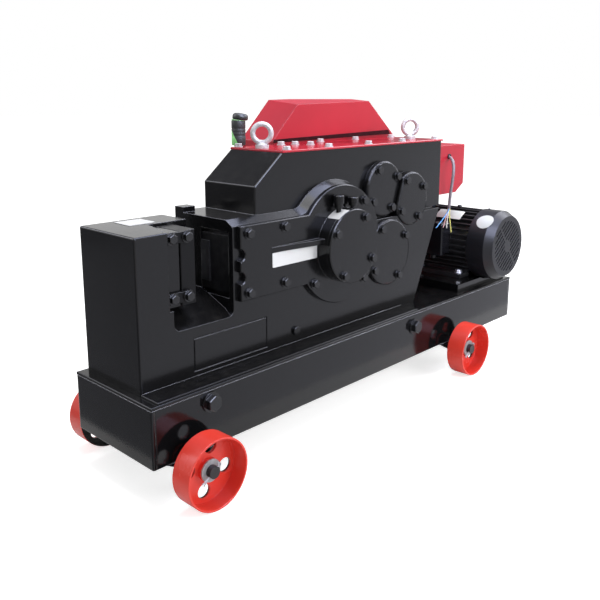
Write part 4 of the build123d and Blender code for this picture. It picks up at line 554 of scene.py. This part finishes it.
def linked(name, data):
    """An object of the scene, made of a mesh, a curve, a lamp or a camera."""
    made = bpy.data.objects.new(name, data)
    bpy.context.scene.collection.objects.link(made)
    return made


def mesh_of(name, shape, material):
    """A mesh made of a bmesh, with its finish."""
    mesh = bpy.data.meshes.new(name)
    shape.to_mesh(mesh)
    shape.free()
    mesh.materials.append(material)
    return mesh


def new_piece(name, shape, material, body=MACHINE):
    """Makes an object of a bmesh, which is in place already, and lets it ride on a body."""
    piece = linked(name, mesh_of(name, shape, material))
    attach(piece, body)
    return piece


def cord_curve(name, route, diameter, material):
    """A round cord on a smooth line through its route."""
    curve = bpy.data.curves.new(name, "CURVE")
    curve.dimensions = "3D"
    curve.bevel_depth = diameter / 2
    curve.bevel_resolution = 6
    curve.resolution_u = 16
    curve.use_fill_caps = True
    spline = curve.splines.new("NURBS")
    spline.points.add(len(route) - 1)
    for point, place in zip(spline.points, route):
        point.co = (*place, 1.0)
    spline.order_u = 3
    spline.use_endpoint_u = True
    curve.materials.append(material)
    piece = linked(name, curve)
    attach(piece, MACHINE)
    return piece


def turned(profile, centre, steps=48):
    """A bmesh turned about a vertical axis from a profile of (radius, height) points."""
    x, y = centre
    shape = bmesh.new()
    points = [shape.verts.new((x + radius, y, height)) for radius, height in profile]
    lines = [shape.edges.new(pair) for pair in zip(points, points[1:])]
    bmesh.ops.spin(
        shape, geom=points + lines, cent=(x, y, 0.0), axis=UP, angle=2 * math.pi, steps=steps,
        use_merge=True,
    )
    bmesh.ops.remove_doubles(shape, verts=shape.verts, dist=MERGE_DISTANCE)
    bmesh.ops.recalc_face_normals(shape, faces=shape.faces)
    return shape


def thickened(shape, offset):
    """Gives a flat bmesh its thickness, which is an offset from its first face."""
    grown = bmesh.ops.extrude_face_region(shape, geom=shape.faces[:], use_keep_orig=True)["geom"]
    moved = [part for part in grown if isinstance(part, bmesh.types.BMVert)]
    bmesh.ops.translate(shape, vec=offset, verts=moved)
    bmesh.ops.recalc_face_normals(shape, faces=shape.faces)
    return shape


def flat_plate(width, height, corner, steps=1):
    """A thin oblong plate about the origin with rounded corners."""
    shape = bmesh.new()
    bmesh.ops.create_grid(shape, x_segments=steps, y_segments=1, size=0.5)
    bmesh.ops.scale(shape, vec=(width, height, 1.0), verts=shape.verts)
    corners = [vert for vert in shape.verts if len(vert.link_faces) == 1]
    bmesh.ops.bevel(
        shape, geom=corners, offset=corner, affect="VERTICES", segments=4, profile=0.5, material=-1
    )
    return thickened(shape, PLATE_RISE)


def round_plate(radius):
    """A thin round plate about the origin."""
    shape = bmesh.new()
    bmesh.ops.create_circle(shape, cap_ends=True, cap_tris=True, segments=40, radius=radius)
    spokes = [edge for edge in shape.edges if not edge.is_boundary]
    bmesh.ops.subdivide_edges(shape, edges=spokes, cuts=3)
    return thickened(shape, PLATE_RISE)


def set_down(shape, place, turn):
    """Moves a plate to its place, turned about the X axis first."""
    matrix = Matrix.Translation(place) @ Matrix.Rotation(turn, 4, "X")
    bmesh.ops.transform(shape, matrix=matrix, verts=shape.verts)
    return shape


def wrapped(shape, axis, radius, middle, depth):
    """Bends a plate round a drum whose axis runs along Y, at an angle and a depth along it."""
    x, z = axis
    for vert in shape.verts:
        turn = middle - vert.co.x / radius
        reach = radius + vert.co.z
        vert.co = (x + reach * math.cos(turn), vert.co.y + depth, z + reach * math.sin(turn))
    bmesh.ops.recalc_face_normals(shape, faces=shape.faces)
    return shape


class CUTTER_OT_studio(bpy.types.Operator):
    """Floor, background, light and camera"""

    bl_idname = "cutter.studio"
    bl_label = "Studio"

    def execute(self, context):
        studio = context.scene.cutter_studio
        self.camera(context.scene, studio)
        self.background(context.scene, studio.ambient)
        self.floor()
        self.cards()
        for name, place, aim, size, tint, mirrored in LAMPS:
            self.lamp(name, place, aim, size, getattr(studio, name), tint, mirrored)
        context.scene.view_settings.view_transform = "Standard"
        return {"FINISHED"}

    def camera(self, scene, studio):
        """The camera at the photograph's angle."""
        data = bpy.data.cameras.new("camera")
        data.lens = studio.lens
        data.sensor_width = SENSOR_WIDTH
        data.shift_y = studio.shift
        camera = linked("camera", data)
        camera.location = studio.place
        camera.rotation_euler = (math.pi / 2 - studio.pitch, 0.0, -studio.yaw)
        scene.camera = camera

    def background(self, scene, ambient):
        """White where it is seen or mirrored, and a softer light from all round."""
        scene.world = bpy.data.worlds.new("studio")
        scene.world.use_nodes = True
        nodes = Nodes(scene.world.node_tree)
        seen = nodes.ray("Camera").most(nodes.mirrored())
        soft = nodes.node("ShaderNodeBackground", None, {"Color": WHITE, "Strength": ambient})
        white = nodes.node("ShaderNodeBackground", None, {"Color": WHITE})
        blend = nodes.node("ShaderNodeMixShader", None, (seen, soft, white))
        nodes.node("ShaderNodeOutputWorld", None, {"Surface": blend})

    def floor(self):
        """A plain white floor that keeps the shadow."""
        finish = Finish("floor_white", Base_Color=FLOOR_PAINT, Roughness=0.9, Specular_IOR_Level=0.0)
        glow = finish.mix(finish.mirrored(), BLACK, FLOOR_MIRRORED)
        finish.feed("Emission Color", finish.mix(finish.ray("Camera"), glow, FLOOR_SEEN))
        finish.feed("Emission Strength", 1.0)
        self.sheet("floor", (0.0, 0.0, 0.0), FLOOR_SIZE, UP, finish.material)

    def cards(self):
        """Cards that only reflections see, as round a glossy black object."""
        for name, place, size, facing, level, tint in CARDS:
            card = self.sheet(name, place, size, facing, self.glow(name, level, tint))
            card.visible_camera = False
            card.visible_diffuse = False
            card.visible_shadow = False
            card.visible_transmission = False

    def glow(self, name, level, tint):
        """The even glow of a card."""
        finish = Finish(f"{name}_glow", Base_Color=BLACK, Roughness=1.0, Specular_IOR_Level=0.0)
        finish.feed("Emission Color", tint)
        finish.feed("Emission Strength", level)
        return finish.material

    def sheet(self, name, place, size, facing, material):
        """A flat stage sheet."""
        shape = bmesh.new()
        bmesh.ops.create_grid(shape, x_segments=1, y_segments=1, size=0.5)
        turn = Vector(UP).rotation_difference(Vector(facing)).to_matrix().to_4x4()
        matrix = Matrix.Translation(place) @ turn @ Matrix.Diagonal((*size, 1.0, 1.0))
        bmesh.ops.transform(shape, matrix=matrix, verts=shape.verts)
        piece = linked(name, mesh_of(name, shape, material))
        return piece

    def lamp(self, name, place, aim, size, power, tint, mirrored):
        """A soft area lamp turned to a point, which gloss may mirror or not."""
        data = bpy.data.lights.new(name, "AREA")
        data.shape = "RECTANGLE"
        data.size, data.size_y = size
        data.energy = power
        data.color = tint
        lamp = linked(name, data)
        lamp.location = place
        lamp.visible_glossy = mirrored
        lamp.rotation_euler = (Vector(aim) - Vector(place)).to_track_quat("-Z", "Y").to_euler()


class CUTTER_OT_supply_lead(bpy.types.Operator):
    """The grey lead and its bared cores"""

    bl_idname = "cutter.supply_lead"
    bl_label = "Supply lead"

    def execute(self, context):
        size = context.scene.cutter_cord
        paint = context.scene.cutter_paint
        sheath = moulded("grey_sheath", paint.sheath, roughness=0.42, scale=900.0)
        lead = cord_curve("supply_lead_sheath", LEAD_ROUTE, size.lead, sheath)
        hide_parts("supply_lead")
        for name, (length, route) in CORES.items():
            tint = getattr(paint, name)
            plastic = moulded(f"{name}_insulation", tint, roughness=0.38, scale=1200.0, depth=0.0001)
            core = cord_curve(name, route, size.core, plastic)
            if name == FIRST_CORE:
                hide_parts("lead_cores")
        return {"FINISHED"}


class CUTTER_OT_castings(bpy.types.Operator):
    """Black enamel on the base, the castings and the covers, with painted highlights along upper edges"""

    bl_idname = "cutter.castings"
    bl_label = "Black castings and base"

    def execute(self, context):
        black = context.scene.cutter_paint.black
        # The edge highlight arguments paint pale highlights along upper edges
        cast = enamel(
            "black_casting", black, roughness=0.18, grain=0.8, dust=0.05, worn=0.20, edge=0.0020,
            gloss=0.31, edge_highlight=0.8, zone=HIGHLIGHT_ZONE,
        )
        dress(cast, "body_casting", "slide_cover", "crank_covers", "oil_fittings")
        oily = enamel(
            "oily_casting", black, roughness=0.30, grain=0.8, dust=0.05, worn=0.20, edge=0.0020,
            gloss=0.16, edge_highlight=0.4,
        )
        dress(oily, "blade_support_block", "clamp_straps")
        cover = enamel(
            "black_cover", black, roughness=0.18, grain=0.8, dust=0.05, worn=0.20, edge=0.011,
            gloss=0.31, edge_highlight=0.9,
        )
        dress(cover, "input_covers", "gear_covers")
        plate = enamel(
            "black_plate", black, roughness=0.10, grain=0.2, dust=0.05, worn=0.20, edge=0.0045,
            gloss=0.31, edge_highlight=1.0,
        )
        dress(plate, "base_side_channels", "base_cross_members", "axle_saddles")
        deck = enamel(
            "black_deck", black, roughness=0.12, grain=0.2, dust=0.05, worn=0.20, edge=0.0020,
            gloss=0.31,
        )
        dress(deck, "deck_plate", "motor_rails")
        small = enamel(
            "black_fasteners", black, roughness=0.22, grain=0.2, dust=0.05, worn=0.45, edge=0.0012,
            gloss=0.45,
        )
        dress(small, "base_side_bolts", "clamp_bolts", "cover_bolts", "clutch_lever")
        return {"FINISHED"}


class CUTTER_OT_red_sheet(bpy.types.Operator):
    """Red enamel on the hood, the top plate and the switch box"""

    bl_idname = "cutter.red_sheet"
    bl_label = "Red sheet metal"

    def execute(self, context):
        red = context.scene.cutter_paint.red
        sheet = enamel(
            "red_sheet", red, roughness=0.34, grain=0.10, dust=0.04, worn=0.15, edge=0.002,
            gloss=0.36,
        )
        dress(sheet, "belt_guard", "guard_back", "switch_box")
        plate = enamel(
            "red_plate", red, roughness=0.16, grain=0.10, dust=0.04, worn=0.15, edge=0.0016,
            gloss=0.40,
        )
        dress(plate, "top_plate")
        return {"FINISHED"}


class CUTTER_OT_wheels(bpy.types.Operator):
    """Red enamel on the four wheels, with painted shade on their insides"""

    bl_idname = "cutter.wheels"
    bl_label = "Wheels"

    def execute(self, context):
        red = context.scene.cutter_paint.wheel_red
        for name in WHEELS:
            low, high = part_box(name)
            hub = tuple((Vector(low) + Vector(high)) / 2)
            wheel = enamel(
                f"{name}_enamel", red, roughness=0.26, grain=0.4, dust=0.0, worn=0.10, edge=0.0012,
                gloss=0.36, hub=hub,
            )
            dress(wheel, name)
        return {"FINISHED"}


class CUTTER_OT_bright_parts(bpy.types.Operator):
    """Bright and dull zinc plate on studs, bolts, lifting eyes and hub washers"""

    bl_idname = "cutter.bright_parts"
    bl_label = "Plated parts"

    def execute(self, context):
        paint = context.scene.cutter_paint
        bright = plated("bright_zinc", paint.zinc, roughness=0.24)
        dress(bright, "guard_studs", "motor_bolts")
        dull = plated("dull_zinc", paint.dull_zinc, roughness=0.36, metal=0.15)
        dress(dull, "top_plate_bolts", "lifting_eyes")
        handled = plated("handled_zinc", shaded(paint.dull_zinc, 0.7), roughness=0.30, metal=0.25)
        dress(handled, "wheel_retainers")
        return {"FINISHED"}


class CUTTER_OT_machined_parts(bpy.types.Operator):
    """Steel, iron and bronze of the drive and the blades"""

    bl_idname = "cutter.machined_parts"
    bl_label = "Machined parts"

    def execute(self, context):
        paint = context.scene.cutter_paint
        steel = machined("turned_steel", paint.steel, roughness=0.26, marks=(120.0, 900.0, 120.0))
        dress(steel, "input_shaft", "second_shaft", "third_shaft", "crankshaft", "wrist_pin")
        oily = machined("oily_steel", paint.oily_steel, roughness=0.24, marks=(60.0, 700.0, 900.0))
        dress(oily, "ram", "ram_guides", "moving_blade_bolts", "axles", "motor_rotor")
        blade = machined("ground_blade", paint.blade_steel, roughness=0.22, marks=(900.0, 900.0, 40.0))
        dress(blade, "fixed_blade", "moving_blade")
        iron = rough_iron("bare_iron", paint.iron)
        dress(iron, "flywheel_pulley", "motor_pulley", "conrod", *GEARS)
        bronze = machined("bush_bronze", paint.bronze, roughness=0.28, marks=(200.0, 900.0, 200.0))
        dress(bronze, "shaft_bushes")
        return {"FINISHED"}


class CUTTER_OT_motor(bpy.types.Operator):
    """Paint on the motor, its terminal box and its fan cover, rubber on the belts"""

    bl_idname = "cutter.motor"
    bl_label = "Motor and belts"

    def execute(self, context):
        paint = context.scene.cutter_paint
        motor = enamel(
            "motor_enamel", paint.motor_black, roughness=0.30, grain=0.8, dust=0.08, worn=0.3,
            edge=0.001,
        )
        dress(motor, "motor_frame", "motor_shields")
        box = enamel(
            "terminal_enamel", paint.fan_black, roughness=0.20, grain=0.4, dust=0.02, worn=0.3,
            edge=0.001, gloss=0.25,
        )
        dress(box, "terminal_box")
        cover = enamel(
            "fan_cover_enamel", paint.fan_black, roughness=0.36, grain=0.2, dust=0.05, worn=0.3,
            edge=0.002, gloss=0.30,
        )
        dress(cover, "fan_cover")
        dress(moulded("belt_rubber", paint.belt, roughness=0.62), "drive_belts")
        return {"FINISHED"}


class CUTTER_OT_controls(bpy.types.Operator):
    """Buttons and the lead's grommet"""

    bl_idname = "cutter.controls"
    bl_label = "Controls"

    def execute(self, context):
        paint = context.scene.cutter_paint
        dress(moulded("start_green", paint.start, roughness=0.30), "start_button")
        dress(moulded("stop_red", paint.stop, roughness=0.30), "stop_button")
        dress(moulded("grommet_rubber", paint.grommet, roughness=0.55), "lead_grommet")
        return {"FINISHED"}


class CUTTER_OT_clutch_grip(bpy.types.Operator):
    """The two-colour clutch grip with its ring and leaning cap"""

    bl_idname = "cutter.clutch_grip"
    bl_label = "Clutch grip"

    def execute(self, context):
        paint = context.scene.cutter_paint
        shape = self.rounded(turned(GRIP_BODY, GRIP_PLACE))
        body = new_piece("grip_body", shape, self.two_tone(paint), LEVER)
        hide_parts("clutch_grip")
        ring = self.leaning(GRIP_RING)
        green = moulded("grip_ring_green", paint.ring_green, roughness=0.40)
        new_piece("grip_ring", ring, green, LEVER)
        cap = self.leaning(GRIP_CAP)
        slip = Vector(GRIP_LEAN) * CAP_SLIP - Vector((0.0, 0.0, CAP_SINK))
        bmesh.ops.translate(cap, vec=slip, verts=cap.verts)
        black = moulded("grip_cap_black", paint.grip, roughness=0.36)
        new_piece("grip_cap", cap, black, LEVER)
        return {"FINISHED"}

    def leaning(self, profile):
        """A part turned about the grip's axis, which leans from the foot of the cap."""
        shape = self.rounded(turned(profile, GRIP_PLACE))
        foot = Vector((*GRIP_PLACE, GRIP_CAP[0][1]))
        tilt = Matrix.Rotation(GRIP_TILT, 4, Vector(UP).cross(Vector(GRIP_LEAN)))
        bmesh.ops.rotate(shape, cent=foot, matrix=tilt, verts=shape.verts)
        return shape

    def rounded(self, shape):
        """Smooth shading on all faces but the flat ends."""
        for face in shape.faces:
            face.smooth = abs(face.normal.z) < FLAT_END
        return shape

    def two_tone(self, paint):
        """Black rubber over a green core that shows below a slanting edge."""
        finish = Finish("grip_two_tone", Specular_IOR_Level=0.45)
        skin = finish.noise(scale=700.0, detail=3.0, roughness=0.6)
        slant = finish.vector("DOT_PRODUCT", finish.place, RUBBER_SLANT, output="Value")
        rubber = slant.above(*RUBBER_EDGE)
        cloud = finish.noise(scale=60.0, detail=3.0)
        black = finish.mix(cloud.above(0.35, 0.70), paint.grip, RUBBED_RUBBER)
        finish.feed("Base Color", finish.mix(rubber, paint.grip_green, black))
        finish.feed("Roughness", 0.36 + 0.14 * rubber + 0.12 * (skin - 0.5))
        finish.bump(skin, distance=0.0002, strength=0.6)
        return finish.material


class CUTTER_OT_blank_plates(bpy.types.Operator):
    """Blank white plates on the motor, the covers and the post"""

    bl_idname = "cutter.blank_plates"
    bl_label = "Blank plates"

    def execute(self, context):
        paint = context.scene.cutter_paint
        white = self.white("plate_white", paint.plate_white)
        # The motor plate's white is a paler copy, painted light against the shade it lies in
        bright = self.white("motor_plate_white", paint.motor_plate, roughness=0.22, dust=0.02, gloss=1.0)
        # The fan plate's white is a darker copy, painted shade against the light it catches
        pale = self.white("fan_plate_white", paint.fan_plate, dust=0.02)
        plates = (
            ("motor_plate", wrapped(flat_plate(*MOTOR_PLATE), *MOTOR_SEAT), bright),
            ("fan_cover_plate", wrapped(round_plate(FAN_PLATE_RADIUS), *FAN_SEAT), pale),
            ("crank_boss_plate", wrapped(flat_plate(*CRANK_PLATE), *CRANK_SEAT), white),
            ("slide_cover_plate", set_down(flat_plate(*SLIDE_PLATE), *SLIDE_SEAT), white),
            ("post_plate", set_down(flat_plate(*POST_PLATE), *POST_SEAT), white),
        )
        for name, shape, finish in plates:
            new_piece(name, shape, finish)
        return {"FINISHED"}

    def white(self, name, colour, roughness=0.30, dust=0.04, gloss=0.5):
        """White paint on a thin plate."""
        return enamel(name, colour, roughness, grain=0.05, dust=dust, worn=0.2, edge=0.0004, gloss=gloss)


class CUTTER_OT_trim(bpy.types.Operator):
    """A dark strip of painted shade under the hood, and the screws on top of the motor"""

    bl_idname = "cutter.trim"
    bl_label = "Shade strip and motor screws"

    def execute(self, context):
        paint = context.scene.cutter_paint
        # A dark sheet of painted shade in the gap between the top plate and the hood
        near, far = SHADE_STRIP_FACES
        shade_strip = bmesh.new()
        shade_strip.faces.new([shade_strip.verts.new((x, near, z)) for x, z in SHADE_STRIP_LINE])
        bmesh.ops.subdivide_edges(shade_strip, edges=shade_strip.edges[:], cuts=1, use_grid_fill=True)
        thickened(shade_strip, (0.0, far - near, 0.0))
        rubber = moulded("seal_rubber", paint.shade_strip, roughness=0.8, gloss=0.05)
        new_piece("hood_seal", shade_strip, rubber)
        black = enamel(
            "motor_screw_black", paint.motor_black, roughness=0.3, grain=0.2, dust=0.05, worn=0.4,
            edge=0.0006,
        )
        for number, (x, y, foot, radius) in enumerate(MOTOR_SCREWS, 1):
            root = foot - SCREW_ROOT
            head = [(wide * radius, foot + tall * radius) for wide, tall in SCREW_HEAD]
            screw = turned(((0.0, root), (radius, root), *head), (x, y), SCREW_STEPS)
            new_piece(f"motor_screw_{number}", screw, black)
        return {"FINISHED"}


class CUTTER_PT_sidebar(bpy.types.Panel):
    """Lists the steps that dress the machine"""

    bl_idname = "CUTTER_PT_sidebar"
    bl_label = "Rebar cutting machine"
    bl_space_type = "VIEW_3D"
    bl_region_type = "UI"
    bl_category = "Cutter"

    def draw(self, context):
        for step in STEPS:
            self.layout.operator(step.bl_idname)


STEPS = (
    CUTTER_OT_studio,
    CUTTER_OT_supply_lead,
    CUTTER_OT_castings,
    CUTTER_OT_red_sheet,
    CUTTER_OT_wheels,
    CUTTER_OT_bright_parts,
    CUTTER_OT_machined_parts,
    CUTTER_OT_motor,
    CUTTER_OT_controls,
    CUTTER_OT_clutch_grip,
    CUTTER_OT_blank_plates,
    CUTTER_OT_trim,
)
SETTINGS = {"cutter_paint": PaintProps, "cutter_cord": CordProps, "cutter_studio": StudioProps}


def register():
    """Registers the settings, the steps and the panel."""
    for name, group in SETTINGS.items():
        bpy.utils.register_class(group)
        setattr(bpy.types.Scene, name, bpy.props.PointerProperty(type=group))
    for step in (*STEPS, CUTTER_PT_sidebar):
        bpy.utils.register_class(step)


def unregister():
    """Takes the panel, the steps and the settings away again."""
    for step in (CUTTER_PT_sidebar, *reversed(STEPS)):
        bpy.utils.unregister_class(step)
    for name, group in SETTINGS.items():
        delattr(bpy.types.Scene, name)
        bpy.utils.unregister_class(group)


def main():
    """Registers the steps and dresses the machine."""
    register()
    bpy.ops.cutter.studio()
    bpy.ops.cutter.supply_lead()
    bpy.ops.cutter.castings()
    bpy.ops.cutter.red_sheet()
    bpy.ops.cutter.wheels()
    bpy.ops.cutter.bright_parts()
    bpy.ops.cutter.machined_parts()
    bpy.ops.cutter.motor()
    bpy.ops.cutter.controls()
    bpy.ops.cutter.clutch_grip()
    bpy.ops.cutter.blank_plates()
    bpy.ops.cutter.trim()


if __name__ == "__main__":
    main()
